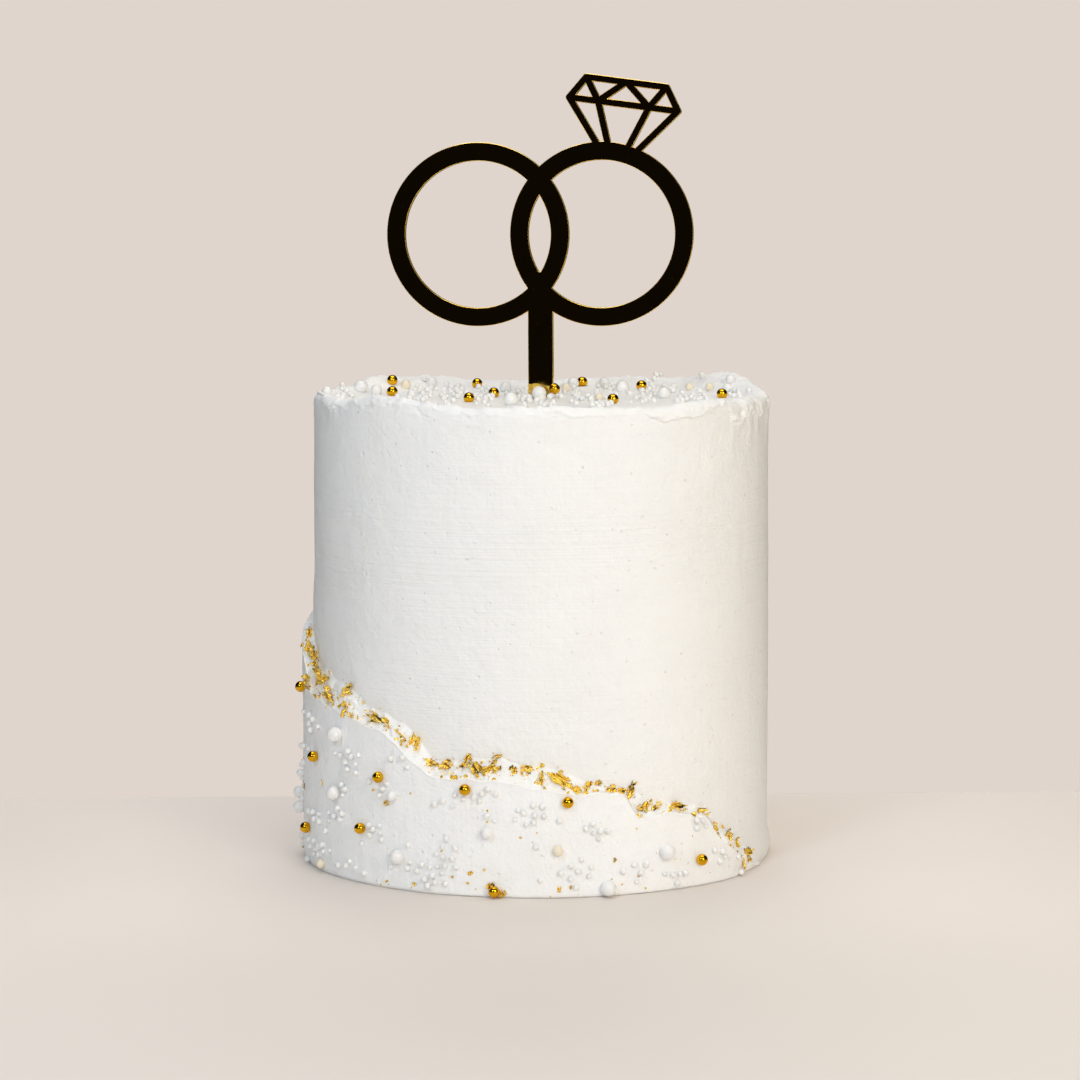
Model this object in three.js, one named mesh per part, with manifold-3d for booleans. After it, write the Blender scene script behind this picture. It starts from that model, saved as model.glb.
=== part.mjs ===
// Engagement cake: a tall round buttercream cake, a second coat of icing that sweeps round it to a
// torn and gilded edge, sugar pearls and gold balls on both, and a cut-out topper of two linked
// rings and a diamond that stands in the top.
//
// Millimetres, +Z up. The origin is the centre of the flat underside, +X is to the right and -Y to
// the front. An azimuth is in degrees round the axis, 0 at the front and positive to the right.

import * as THREE from 'three';
import { mergeVertices } from 'three/addons/utils/BufferGeometryUtils.js';
import Module from 'manifold-3d';

const wasm = await Module();
wasm.setup();

// ---- driving dimensions -------------------------------------------------------------------------

const CAKE_RADIUS = 82.5;
const PLATEAU_HEIGHT = 165.6; // the top inside the rim
const CREST_RADIUS = 80; // where the rim is highest
const CREST_HEIGHT = 167.6;

// Where the rim stands higher or lower than that: [azimuth, half width in degrees, height].
const RIM_SWELLS = [
  [-140, 18, 2.9], [-131, 6, 1.3], [-78, 14, 1.4], [-42, 16, 2.9], [20, 9, -0.6], [50, 9, 0.4],
  [118, 17, 4.6], [150, 15, 1.6],
];

const COAT_START = -246; // the coat runs from behind the right side, round the back and the left,
const COAT_END = 68; // to a thin bead at the front right
const COAT_FOOT = 0.4; // height of its lower edge
const FIT_GAP = 0.5; // between the coat and the cake
const TRIM_GAP = 0.33; // between the cake and what is trimmed off the coat's leaf and balls

// Outer radius of the coat: full nearly all the way, thin at its two ends.
const COAT_RADIUS = [[-246, 84.2], [-236, 86.4], [-86, 86.7], [54.6, 86.7], [56.4, 84.9], [68, 83.9]];

// Top of the coat's outside, where the icing is torn: [azimuth, height].
const COAT_CREST = [
  [-246, 1.6], [-238, 20], [-225, 52], [-208, 83], [-190, 101], [-170, 107], [-150, 105],
  [-112, 89], [-86, 79.5], [-78, 74.3], [-72, 62.5], [-50, 59.2], [-47, 56.6], [-39.5, 55.5],
  [-26, 41], [-10, 41], [0, 38], [8, 36], [19, 36], [22.3, 26], [30, 27.8], [41, 24.5], [46, 15.3],
  [54.6, 7], [56.4, 4.2], [68, 1.4],
];

// How much higher the torn face ends on the cake's side: [azimuth, height].
const TORN_HEIGHT = [
  [-246, 1.6], [-238, 5], [-208, 8], [-150, 6], [-86, 5.7], [-78, 3.5], [-72, 11], [-56, 8.3],
  [-40, 4.8], [-31, 8], [-27.5, 4], [-17, 7.5], [-11, 7.8], [-5, 5.8], [3, 7.3], [14, 2.6],
  [19.5, 1.4], [22.8, 10.6], [24.4, 5.6], [35, 2.4], [47, 5], [54, 8.2], [62, 4.8], [68, 1.6],
];

// Balls: the large ones are placed one by one, and small pearls fill the groups between them.
const GOLD_BALL = 4;
const SMALL_PEARL = 2;
const TINY_PEARL = 1.6;
const SUNK = 0.14; // share of a ball's diameter that is pressed into the icing
const BALL_SPACING = 0.15; // least gap between two balls

// On the top: [x, y, diameter], and [x, y, half width, half depth, count] for a group.
const TOP_GOLD = [
  [-55, 46.5], [-54, 21], [-23.5, 64], [-16.5, 10.5], [-25, -18], [5.5, 32], [16.5, 71.5],
  [26, -33], [38.5, 49], [66, -3],
];
const TOP_PEARLS = [
  [-77, 5.5, 3.4], [-66, 32, 4.9], [-60, 25.5, 4.3], [-40.5, 58.5, 4.1], [-46.5, 12, 3.4],
  [-12.5, 36, 4.2], [-10, -30, 5.2], [0, -7, 5.2], [13, 66, 4.3], [13.5, 21, 2.7],
  [18.5, -21.5, 2.4], [25, 68, 4], [31, 36.5, 5.1], [45, -3, 4.8], [50.5, 46, 2.7], [61, 43, 2.6],
  [69, 17.5, 3.5], [70.5, 24, 3.7], [76, 2, 2.4],
];
const TOP_IVORY = [[-50, 47, 3.8], [10, 38.5, 3.5], [21.5, -16, 2.9], [56, 36, 3.1], [63, 27, 3.1]];
const TOP_GROUPS = [
  [-43, 42, 5, 22, 9], [-32, 32, 5, 34, 16], [-42, -5, 4, 4, 3], [-20, 2, 4, 36, 9],
  [-7, 30, 5, 12, 7], [-2.5, -18, 5, 7, 6], [3, -38, 3, 18, 4], [21, -50, 4, 11, 7],
  [18, -10, 6, 12, 5], [26, 56, 5, 8, 6], [38, -14, 4, 24, 6], [44, 44, 5, 26, 14],
  [56, -10, 6, 18, 9], [71, 0, 3, 15, 5], [-71, 15, 3, 20, 5],
];

// On the front of the coat: [azimuth, height, diameter], and
// [azimuth, height, half width, half height, count] for a group.
const SIDE_GOLD = [
  [-79, 63.3], [-67, 40.8], [-40, 39], [-17.3, 37.4], [-74, 13.3], [-46, 19.9], [-10.8, 2.4],
  [5.8, 33.4], [39, 9.5],
];
const SIDE_PEARLS = [
  [-55, 51.4, 5.4], [-56, 30.4, 5], [-36, 33, 3.7], [-34.6, 12.1, 5.1], [-12.3, 22.8, 4.3],
  [-88, 22.4, 4.5], [-87, 17.2, 4.5], [-84, 30.5, 3], [29.3, 13.9, 5.4], [14.8, 3.2, 5.4],
];
const SIDE_IVORY = [[-63.3, 3, 3.3], [3.5, 16.7, 3.7]];
const SIDE_GROUPS = [
  [-69, 52.5, 8, 3, 5], [-50, 43, 6, 5, 8], [-53, 32.5, 3.2, 3, 4], [-77, 39.8, 10, 6, 4],
  [-38, 34.5, 5, 4, 6], [-34, 46, 5, 4, 3], [-56, 21.9, 6.3, 3.2, 9], [-68, 19.3, 7, 2.4, 5],
  [-67, 8.8, 13, 2.9, 11], [-86, 7, 6, 4.4, 5], [-42, 19.3, 5, 4.4, 8], [-51, 4.5, 9, 3, 9],
  [-31, 8.5, 4, 3.2, 5], [-15, 35.6, 8.5, 2.4, 10], [-23, 32, 5, 2, 4], [-3, 29.6, 6, 4.4, 13],
  [-12, 25, 4, 2.4, 3], [-22, 14, 5, 6, 9], [-25, 6, 6, 4, 7], [13, 23.4, 5, 3.6, 9],
  [31.6, 5, 5, 2.4, 10], [8, 8, 6, 5, 7], [22, 8, 5, 5, 5], [38, 22.4, 4, 2, 6], [46, 10, 2.4, 3, 5],
];

// The same goes on round the back at even steps, each with a pearl, a gold ball and a group.
const BACK_FIRST = -101;
const BACK_STEP = -13.4;
const BACK_COUNT = 10;

// Gold leaf on the front of the torn edge: [azimuth, share of the torn face, width, length].
const LEAF_THICKNESS = 0.8;
const LEAF_PIECES = [
  [-76, 0.7, 6, 8], [-70, 0.6, 7, 9], [-53, 0.5, 5, 8.4], [-42.8, 0.5, 9.4, 6.8],
  [-33.6, 0.5, 8.6, 7], [-20.5, 0.5, 5, 4.4], [-13.2, 0.5, 11.4, 7.4], [-4.5, 0.7, 7.4, 4.4],
  [4.6, 0.6, 10, 7.4], [23.4, 0.6, 5.6, 5.4], [34, 0.6, 6.6, 3.8], [51.4, 0.5, 4, 5],
];

// Topper: a flat plate, laid out in its own plane with u across and w up from the cake's top.
const PLATE_THICKNESS = 3;
const PLATE_LEAN = -0.5; // degrees, its head a little towards the back
const PLATE_YAW = -6; // degrees, its right side towards the front
const RING_OUTER = 33;
const RING_INNER = 26.4;
const RING_HEIGHT = 59; // of both centres
const RING_MIDDLE = 0.6; // halfway between the centres
const RING_OFFSET = 22.35; // from there to each centre
const STAKE_WIDTH = 9;
const STAKE_MIDDLE = 0.75;
const STAKE_TOP = 36;
const STAKE_DEPTH = 40; // in the cake
const SLOT_CLEARANCE = 0.3;

const GEM_CORNER = [9.4, 108.1]; // left end of the girdle
const GEM_TILT = -7.8; // degrees
const GEM_WIDTH = 43.6;
const GEM_CROWN = 9.2;
const GEM_TABLE_INSET = 6.1;
const GEM_PAVILION = 26;
const GEM_FACET = 9.2; // from the middle to each inner girdle corner
const GEM_STROKE = 2.5;

// ---- helpers ------------------------------------------------------------------------------------

const rad = THREE.MathUtils.degToRad;
const wrap = (azimuth) => THREE.MathUtils.euclideanModulo(azimuth + 180, 360) - 180;
const smooth = (t) => THREE.MathUtils.smoothstep(t, 0, 1);
const bump = (azimuth, centre, width) => Math.exp(-((wrap(azimuth - centre) / width) ** 2));

// The same uneven draw for a given number every time, from 0 to 1.
function draw(number) {
  const wave = Math.sin(number * 12.9898 + 4.1414) * 43758.5453;
  return wave - Math.floor(wave);
}

// Value at x of a row of [x, value] keys, straight between them.
function keyed(keys, x) {
  let i = 0;
  while (i < keys.length - 2 && x >= keys[i + 1][0]) i += 1;
  const [[x0, low], [x1, high]] = [keys[i], keys[i + 1]];
  return low + (high - low) * THREE.MathUtils.clamp((x - x0) / (x1 - x0), 0, 1);
}

const polar = (azimuth, radius, z) => [
  radius * Math.sin(rad(azimuth)), -radius * Math.cos(rad(azimuth)), z,
];

// A closed solid of manifold-3d from points and triangles, or from a three.js geometry.
function solid(points, triangles) {
  const mesh = new wasm.Mesh({
    numProp: 3,
    vertProperties: new Float32Array(points.flat()),
    triVerts: new Uint32Array(triangles.flat()),
  });
  return new wasm.Manifold(mesh);
}

function solidOf(geometry) {
  const bare = geometry.clone();
  bare.deleteAttribute('normal');
  bare.deleteAttribute('uv');
  const merged = mergeVertices(bare, 1e-4);
  const mesh = new wasm.Mesh({
    numProp: 3,
    vertProperties: new Float32Array(merged.attributes.position.array),
    triVerts: new Uint32Array(merged.index.array),
  });
  return new wasm.Manifold(mesh);
}

function geometryOf(manifold) {
  const { vertProperties, triVerts } = manifold.getMesh();
  const geometry = new THREE.BufferGeometry();
  geometry.setAttribute('position', new THREE.BufferAttribute(vertProperties, 3));
  geometry.setIndex(new THREE.BufferAttribute(triVerts, 1));
  geometry.computeVertexNormals();
  return geometry;
}

// Loops of points, one after another, skinned into a closed solid with a point at each end.
// Seen from the end, looking back at the start, each loop turns anticlockwise.
function skin(loops, startPoint, endPoint) {
  const count = loops[0].length;
  const points = [startPoint, ...loops.flat(), endPoint];
  const end = points.length - 1;
  const at = (loop, i) => 1 + loop * count + (i % count);
  const triangles = [];
  for (let i = 0; i < count; i += 1) {
    triangles.push([0, at(0, i + 1), at(0, i)]);
    for (let loop = 0; loop < loops.length - 1; loop += 1) {
      const [a, b] = [at(loop, i), at(loop, i + 1)];
      const [c, d] = [at(loop + 1, i + 1), at(loop + 1, i)];
      triangles.push([a, b, c], [a, c, d]);
    }
    triangles.push([at(loops.length - 1, i), at(loops.length - 1, i + 1), end]);
  }
  return solid(points, triangles);
}

// ---- the cake's surface -------------------------------------------------------------------------

// Radius of the side: a scraped wall that wavers a little, with a foot that spreads at the right.
function sideRadius(azimuth, z) {
  const a = rad(azimuth);
  const waver = 0.16 * Math.sin(3 * a + 0.6 + z / 40) + 0.1 * Math.sin(8 * a - z / 17);
  const foot = 0.25 + 1.1 * bump(azimuth, 95, 38);
  return CAKE_RADIUS + waver + foot * Math.exp(-(((z - 4) / 3.6) ** 2));
}

// Icing pushed over the rim: a lip that stands out below the crest, most at two ragged folds.
function lip(azimuth, drop) {
  const a = rad(azimuth);
  const smear = 0.3 + 0.15 * Math.sin(5 * a + 1) + 0.1 * Math.sin(13 * a)
    + 0.8 * bump(azimuth, -80, 9) + 1.1 * bump(azimuth, 74, 12);
  return smear * Math.exp(-(((drop - 4) / 2.8) ** 2));
}

function crestHeight(azimuth) {
  const a = rad(azimuth);
  const swells = RIM_SWELLS.reduce(
    (sum, [centre, width, height]) => sum + height * bump(azimuth, centre, width), 0,
  );
  return CREST_HEIGHT + swells + 0.2 * Math.sin(9 * a + 1) + 0.15 * Math.sin(17 * a + 2);
}

// Width of the slope from the crest down to the plateau: wide below the two swept-up corners.
const slopeWidth = (azimuth) => 8 + 8 * bump(azimuth, -133, 16) + 8 * bump(azimuth, 120, 18);

function plateau(x, y) {
  return PLATEAU_HEIGHT + 0.22 * Math.sin(x / 13 + y / 29 + 0.7)
    + 0.16 * Math.sin(y / 9 - x / 31 + 2.1);
}

// Height of the top at a point inside the crest.
function topHeight(x, y) {
  const azimuth = THREE.MathUtils.radToDeg(Math.atan2(x, -y));
  const width = slopeWidth(azimuth);
  const rise = smooth((Math.hypot(x, y) - (CREST_RADIUS - width)) / width);
  const floor = plateau(x, y);
  return floor + (crestHeight(azimuth) - floor) * rise;
}

// ---- balls --------------------------------------------------------------------------------------

// Small pearls fill an oval evenly by the golden angle; every third is a tiny one.
const GOLDEN_ANGLE = 2.39996;

function group([across, along, halfWidth, halfHeight, count], seed) {
  return Array.from({ length: count }, (_, k) => {
    const reach = Math.sqrt((k + 0.5) / count);
    const turn = GOLDEN_ANGLE * k + 2 * Math.PI * draw(seed);
    return {
      across,
      along,
      u: halfWidth * reach * Math.cos(turn) + 0.8 * (draw(seed + k + 0.3) - 0.5),
      v: halfHeight * reach * Math.sin(turn) + 0.8 * (draw(seed + k + 0.7) - 0.5),
      diameter: k % 3 === 2 ? TINY_PEARL : SMALL_PEARL,
      lead: k === 0,
    };
  });
}

// Keeps the balls that stand clear of all that were kept before them.
function spaced(balls) {
  const kept = [];
  for (const ball of balls) {
    const clear = kept.every((other) => {
      const apart = Math.hypot(...ball.centre.map((value, i) => value - other.centre[i]));
      return apart > (ball.diameter + other.diameter) / 2 + BALL_SPACING;
    });
    if (clear) kept.push(ball);
  }
  return kept;
}

function topBall(x, y, diameter, lead = true) {
  return { centre: [x, y, topHeight(x, y) + (0.5 - SUNK) * diameter], diameter, lead };
}

// Radius of the coat's outside.
function coatRadius(azimuth, z) {
  const a = rad(azimuth);
  const waver = 0.16 * Math.sin(4 * a + z / 22) + 0.1 * Math.sin(11 * a - z / 9);
  return keyed(COAT_RADIUS, azimuth) + waver;
}

function sideBall(azimuth, z, diameter, lead = true) {
  const height = Math.max(z, COAT_FOOT + diameter / 2);
  const radius = coatRadius(azimuth, height) + (0.5 - SUNK) * diameter;
  return { centre: polar(azimuth, radius, height), diameter, lead };
}

const STAKE_CLEARANCE = 1.1; // round the stake, for its lean and its yaw

function clearOfStake({ centre: [x, y], diameter }) {
  const outX = Math.abs(x - STAKE_MIDDLE) - STAKE_WIDTH / 2;
  const outY = Math.abs(y) - PLATE_THICKNESS / 2;
  return Math.max(outX, outY) > diameter / 2 + STAKE_CLEARANCE;
}

function topBalls() {
  return spaced([
    ...TOP_GOLD.map(([x, y]) => topBall(x, y, GOLD_BALL)),
    ...[...TOP_PEARLS, ...TOP_IVORY].map(([x, y, diameter]) => topBall(x, y, diameter)),
    ...TOP_GROUPS.flatMap((row, i) => group(row, 17 * i + 5).map(
      ({ across, along, u, v, diameter, lead }) => topBall(across + u, along + v, diameter, lead),
    )),
  ]).filter(clearOfStake);
}

// Stations round the back, each at its own share of the coat's height.
function backStations() {
  return Array.from({ length: BACK_COUNT }, (_, k) => {
    const azimuth = BACK_FIRST + BACK_STEP * k;
    return { azimuth, low: 0.12 + 0.36 * draw(k + 61), high: 0.52 + 0.34 * draw(k + 83), k };
  });
}

function sideBalls() {
  const back = backStations();
  const heightAt = ({ azimuth }, share) => share * keyed(COAT_CREST, azimuth);
  const backGroups = back.flatMap((station) => [
    [station.azimuth - 5, heightAt(station, station.high), 9, 8, 9],
    [station.azimuth + 4, heightAt(station, station.low), 9, 7, 11],
  ]);
  const perDegree = rad(CAKE_RADIUS);
  return spaced([
    ...SIDE_GOLD.map(([azimuth, z]) => sideBall(azimuth, z, GOLD_BALL)),
    ...back.map((station) => sideBall(station.azimuth, heightAt(station, station.low), GOLD_BALL)),
    ...[...SIDE_PEARLS, ...SIDE_IVORY].map(
      ([azimuth, z, diameter]) => sideBall(azimuth, z, diameter),
    ),
    ...back.map((station) => sideBall(
      station.azimuth - 6 + 6 * draw(station.k + 7),
      heightAt(station, station.high),
      3.6 + 1.8 * draw(station.k + 29),
    )),
    ...[...SIDE_GROUPS, ...backGroups].flatMap((row, i) => group(row, 23 * i + 911).map(
      ({ across, along, u, v, diameter, lead }) => sideBall(
        across + u / perDegree, along + v, diameter, lead,
      ),
    )),
  ]);
}

// A ball with 20 faces, of the round ball's volume. Of a group, only the first is made.
const FACETED_GROWTH = 1.18;

function ballSolid({ centre, diameter }) {
  const geometry = new THREE.IcosahedronGeometry((FACETED_GROWTH * diameter) / 2, 0);
  geometry.rotateZ(rad(360 * draw(centre[0] + 3 * centre[2])));
  geometry.translate(...centre);
  return solidOf(geometry);
}

const ballSolids = (balls) => balls.filter(({ lead }) => lead).map(ballSolid);

// ---- the cake -----------------------------------------------------------------------------------

const COLUMNS = 72;
const SIDE_LEVELS = [2, 5, 10, 80, 148];
const RIM_DROPS = [10, 6, 3.2, 1];
const SLOPE_STEPS = [0.35, 0.7, 1];
const TOP_RADII = [48, 24];

// Radius and height of the wall at one azimuth, from the floor up and in over the rim.
function cakeProfile(azimuth) {
  const crest = crestHeight(azimuth);
  const width = slopeWidth(azimuth);
  const round = CAKE_RADIUS - CREST_RADIUS;
  const inside = [
    ...SLOPE_STEPS.map((step) => CREST_RADIUS - step * width),
    ...TOP_RADII,
  ];
  return [
    [sideRadius(azimuth, 0) - 0.5, 0],
    ...SIDE_LEVELS.map((z) => [sideRadius(azimuth, z), z]),
    ...RIM_DROPS.map((drop) => [
      sideRadius(azimuth, crest - drop) + lip(azimuth, drop) - round * Math.exp(-drop / 1.1),
      crest - drop,
    ]),
    [CREST_RADIUS, crest],
    ...inside.map((radius) => {
      const [x, y] = polar(azimuth, radius, 0);
      return [radius, topHeight(x, y)];
    }),
  ];
}

function cakeBody() {
  const columns = Array.from({ length: COLUMNS }, (_, i) => {
    const azimuth = (360 * i) / COLUMNS;
    return cakeProfile(azimuth).map(([radius, z]) => polar(azimuth, radius, z));
  });
  const loops = columns[0].map((_, level) => columns.map((column) => column[level]));
  return skin(loops, [0, 0, 0], [0, 0, topHeight(0, 0)]);
}

// The plate's own frame set into the cake's.
const platePlace = new THREE.Matrix4().makeTranslation(0, 0, PLATEAU_HEIGHT)
  .multiply(new THREE.Matrix4().makeRotationZ(rad(PLATE_YAW)))
  .multiply(new THREE.Matrix4().makeRotationX(rad(PLATE_LEAN)));

// The slit that the stake is pushed into, a little wider than the stake and open at the top.
function stakeSlot() {
  const reach = 12; // past the cake's top
  const slot = new THREE.BoxGeometry(
    STAKE_WIDTH + 2 * SLOT_CLEARANCE,
    PLATE_THICKNESS + 2 * SLOT_CLEARANCE,
    STAKE_DEPTH + SLOT_CLEARANCE + reach,
  );
  slot.translate(STAKE_MIDDLE, 0, (reach - STAKE_DEPTH - SLOT_CLEARANCE) / 2);
  slot.applyMatrix4(platePlace);
  return solidOf(slot);
}

function makeCake() {
  return wasm.Manifold.union([cakeBody(), ...ballSolids(topBalls())]).subtract(stakeSlot());
}

// ---- the second coat ----------------------------------------------------------------------------

const COAT_STEP = 3; // degrees

// The torn edge at one azimuth: height of its lower line and of its upper one.
function tornEdge(azimuth) {
  const a = rad(azimuth);
  const crest = keyed(COAT_CREST, azimuth) + 0.2 * Math.sin(37 * a) + 0.2 * Math.sin(61 * a + 1);
  return { crest, feather: crest + keyed(TORN_HEIGHT, azimuth) + 0.3 * Math.sin(43 * a + 2) };
}

// Radius of the cake's side where the coat begins.
const innerRadius = (azimuth, z) => sideRadius(azimuth, z) + FIT_GAP;

// Radius and height on the torn face, hollowed a little between its two lines.
function tornFace(azimuth, share) {
  const { crest, feather } = tornEdge(azimuth);
  return [
    THREE.MathUtils.lerp(coatRadius(azimuth, crest) - 0.3, innerRadius(azimuth, feather) + 0.5, share),
    THREE.MathUtils.lerp(crest, feather, share) - 0.8 * Math.sin(Math.PI * share),
  ];
}

// Outline of the coat's section at one azimuth: up the inside, over the torn face, down outside.
function coatSection(azimuth) {
  const { crest, feather } = tornEdge(azimuth);
  const inside = [COAT_FOOT, Math.min(5, 0.2 * crest), Math.min(10, 0.4 * crest), feather - 0.3];
  const outside = [crest - 1.5 * Math.min(1, crest / 4), 0.5 * crest, COAT_FOOT];
  return [
    ...inside.map((z) => [innerRadius(azimuth, z), z]),
    tornFace(azimuth, 1),
    tornFace(azimuth, 0.5),
    tornFace(azimuth, 0),
    ...outside.map((z) => [coatRadius(azimuth, z), z]),
  ].map(([radius, z]) => polar(azimuth, radius, z));
}

const middleOf = (points) => [0, 1, 2].map(
  (axis) => points.reduce((sum, point) => sum + point[axis], 0) / points.length,
);

function coatBody() {
  const count = Math.round((COAT_END - COAT_START) / COAT_STEP) + 1;
  const step = (COAT_END - COAT_START) / (count - 1);
  const sections = Array.from({ length: count }, (_, i) => coatSection(COAT_START + i * step));
  return skin(sections, middleOf(sections[0]), middleOf(sections[count - 1]));
}

// Everything within the trim gap of the cake's side, to trim what would reach into it.
function cakeKeepOut() {
  const levels = [-5, 0, ...SIDE_LEVELS];
  const loops = levels.map((z) => Array.from({ length: COLUMNS }, (_, i) => {
    const azimuth = (360 * i) / COLUMNS;
    return polar(azimuth, sideRadius(azimuth, z) + TRIM_GAP, z);
  }));
  return skin(loops, [0, 0, levels[0]], [0, 0, levels[levels.length - 1]]);
}

// A piece of gold leaf on the torn face: an uneven six-sided flake with a raised middle.
const LEAF_SIDES = 6;

function leafSolid([azimuth, share, width, length], index) {
  const [[lowRadius, lowZ], [highRadius, highZ]] = [tornFace(azimuth, 0), tornFace(azimuth, 1)];
  const lean = Math.atan2(lowRadius - highRadius, highZ - lowZ);
  const out = new THREE.Vector3(...polar(azimuth, 1, 0));
  const up = new THREE.Vector3(0, 0, 1);
  const across = new THREE.Vector3().crossVectors(up, out);
  const face = out.multiplyScalar(Math.cos(lean)).addScaledVector(up, Math.sin(lean));
  const along = new THREE.Vector3().crossVectors(face, across);
  const centre = new THREE.Vector3(...polar(azimuth, ...tornFace(azimuth, share)));
  const place = (u, v, height) => centre.clone().addScaledVector(across, u)
    .addScaledVector(along, v).addScaledVector(face, height).toArray();
  const loop = (height) => Array.from({ length: LEAF_SIDES }, (_, i) => {
    const turn = (2 * Math.PI * i) / LEAF_SIDES;
    const reach = 0.38 + 0.17 * draw(31 * index + i);
    const curl = 0.3 + 0.9 * draw(57 * index + i);
    return place(width * reach * Math.cos(turn), length * reach * Math.sin(turn), height + curl);
  });
  return skin(
    [loop(-LEAF_THICKNESS / 2), loop(LEAF_THICKNESS / 2)],
    place(0, 0, -LEAF_THICKNESS),
    place(0, 0, 1.2 * LEAF_THICKNESS),
  );
}

function leafPieces() {
  const back = backStations().map(({ azimuth, k }) => [
    azimuth, 0.6, 5 + 6 * draw(k + 11), 5 + 3 * draw(k + 13),
  ]);
  return [...LEAF_PIECES, ...back];
}

function makeCoat() {
  return wasm.Manifold.union([
    coatBody(),
    ...ballSolids(sideBalls()),
    ...leafPieces().map(leafSolid),
  ]).subtract(cakeKeepOut());
}

// ---- the topper ---------------------------------------------------------------------------------

const RING_SEGMENTS = 44;
const STROKE_END_SEGMENTS = 4;

// A flat shape in the plate's plane, given the plate's thickness.
function plateSolid(shape, segments = RING_SEGMENTS) {
  const geometry = new THREE.ExtrudeGeometry(shape, {
    depth: PLATE_THICKNESS, bevelEnabled: false, curveSegments: segments,
  });
  geometry.rotateX(Math.PI / 2);
  geometry.translate(0, PLATE_THICKNESS / 2, 0);
  return solidOf(geometry);
}

function disc(u, w, radius) {
  const shape = new THREE.Shape();
  shape.absarc(u, w, radius, 0, 2 * Math.PI);
  return shape;
}

function ring(side) {
  const u = RING_MIDDLE + side * RING_OFFSET;
  const shape = disc(u, RING_HEIGHT, RING_OUTER);
  shape.holes.push(disc(u, RING_HEIGHT, RING_INNER));
  return plateSolid(shape);
}

// A straight stroke with rounded ends.
function stroke([u0, w0], [u1, w1], width) {
  const heading = Math.atan2(w1 - w0, u1 - u0);
  const shape = new THREE.Shape();
  shape.absarc(u0, w0, width / 2, heading + Math.PI / 2, heading + 1.5 * Math.PI);
  shape.absarc(u1, w1, width / 2, heading - Math.PI / 2, heading + Math.PI / 2);
  return plateSolid(shape, STROKE_END_SEGMENTS);
}

function bar(uMiddle, wLow, wHigh, width) {
  const corners = [[-1, wLow], [1, wLow], [1, wHigh], [-1, wHigh]];
  return plateSolid(new THREE.Shape(corners.map(
    ([side, w]) => new THREE.Vector2(uMiddle + (side * width) / 2, w),
  )));
}

// The diamond, drawn by the middle lines of its strokes and cut off where the ring begins.
function gem() {
  const half = GEM_STROKE / 2;
  const [cos, sin] = [Math.cos(rad(GEM_TILT)), Math.sin(rad(GEM_TILT))];
  const at = (along, up) => [
    GEM_CORNER[0] + along * cos - up * sin,
    GEM_CORNER[1] + along * sin + up * cos,
  ];
  const middle = GEM_WIDTH / 2;
  const left = at(1.7 * half, 0);
  const right = at(GEM_WIDTH - 1.7 * half, 0);
  const tableLeft = at(GEM_TABLE_INSET + half, GEM_CROWN - half);
  const tableRight = at(GEM_WIDTH - GEM_TABLE_INSET - half, GEM_CROWN - half);
  const tableMiddle = at(middle, GEM_CROWN - half);
  const facetLeft = at(middle - GEM_FACET, 0);
  const facetRight = at(middle + GEM_FACET, 0);
  const point = at(middle, half - GEM_PAVILION);
  const strokes = [
    [left, tableLeft], [tableLeft, tableRight], [tableRight, right], [left, right],
    [tableLeft, facetLeft], [facetLeft, tableMiddle], [tableMiddle, facetRight],
    [facetRight, tableRight], [left, point], [right, point], [facetLeft, point],
    [facetRight, point],
  ].map(([from, to]) => stroke(from, to, GEM_STROKE));
  const ringReach = plateSolid(disc(RING_MIDDLE + RING_OFFSET, RING_HEIGHT, RING_INNER + 2));
  return wasm.Manifold.union(strokes).subtract(ringReach);
}

function makeTopper() {
  const web = bar(RING_MIDDLE, RING_HEIGHT - 17, RING_HEIGHT - 13.4, 3.2); // between the rings
  return wasm.Manifold.union([
    ring(-1), ring(1), web, gem(), bar(STAKE_MIDDLE, -STAKE_DEPTH, STAKE_TOP, STAKE_WIDTH),
  ]);
}

// ---- the object ---------------------------------------------------------------------------------

function part(name, manifold, { color, roughness, metalness }) {
  const material = new THREE.MeshStandardMaterial({ color, roughness, metalness });
  const mesh = new THREE.Mesh(geometryOf(manifold), material);
  mesh.name = name;
  return mesh;
}

const object = new THREE.Group();
object.add(part('cake', makeCake(), { color: 0xf1efea, roughness: 0.6, metalness: 0 }));
object.add(part('second_coat', makeCoat(), { color: 0xf3f2ee, roughness: 0.55, metalness: 0 }));

const topper = part('ring_topper', makeTopper(), { color: 0xc99a2e, roughness: 0.08, metalness: 1 });
topper.position.set(0, 0, PLATEAU_HEIGHT);
topper.rotation.set(rad(PLATE_LEAN), 0, rad(PLATE_YAW), 'ZYX');
object.add(topper);

export default object;
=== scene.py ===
"""Engagement cake: a tall round cake in scraped buttercream, a second coat that sweeps round it to a
torn edge with gold leaf, sugar pearls and gold balls, and a topper of linked rings and a diamond in
gold mirror sheet.

Shapes are worked out in millimetres and put into their meshes in metres. The origin is the centre of
the cake's underside, +Z is up and the front is -Y. An azimuth is in degrees round the axis, 0 at the
front and positive to the right.
"""

import bmesh
import bpy
import numpy as np
from mathutils import Matrix, Vector


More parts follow.
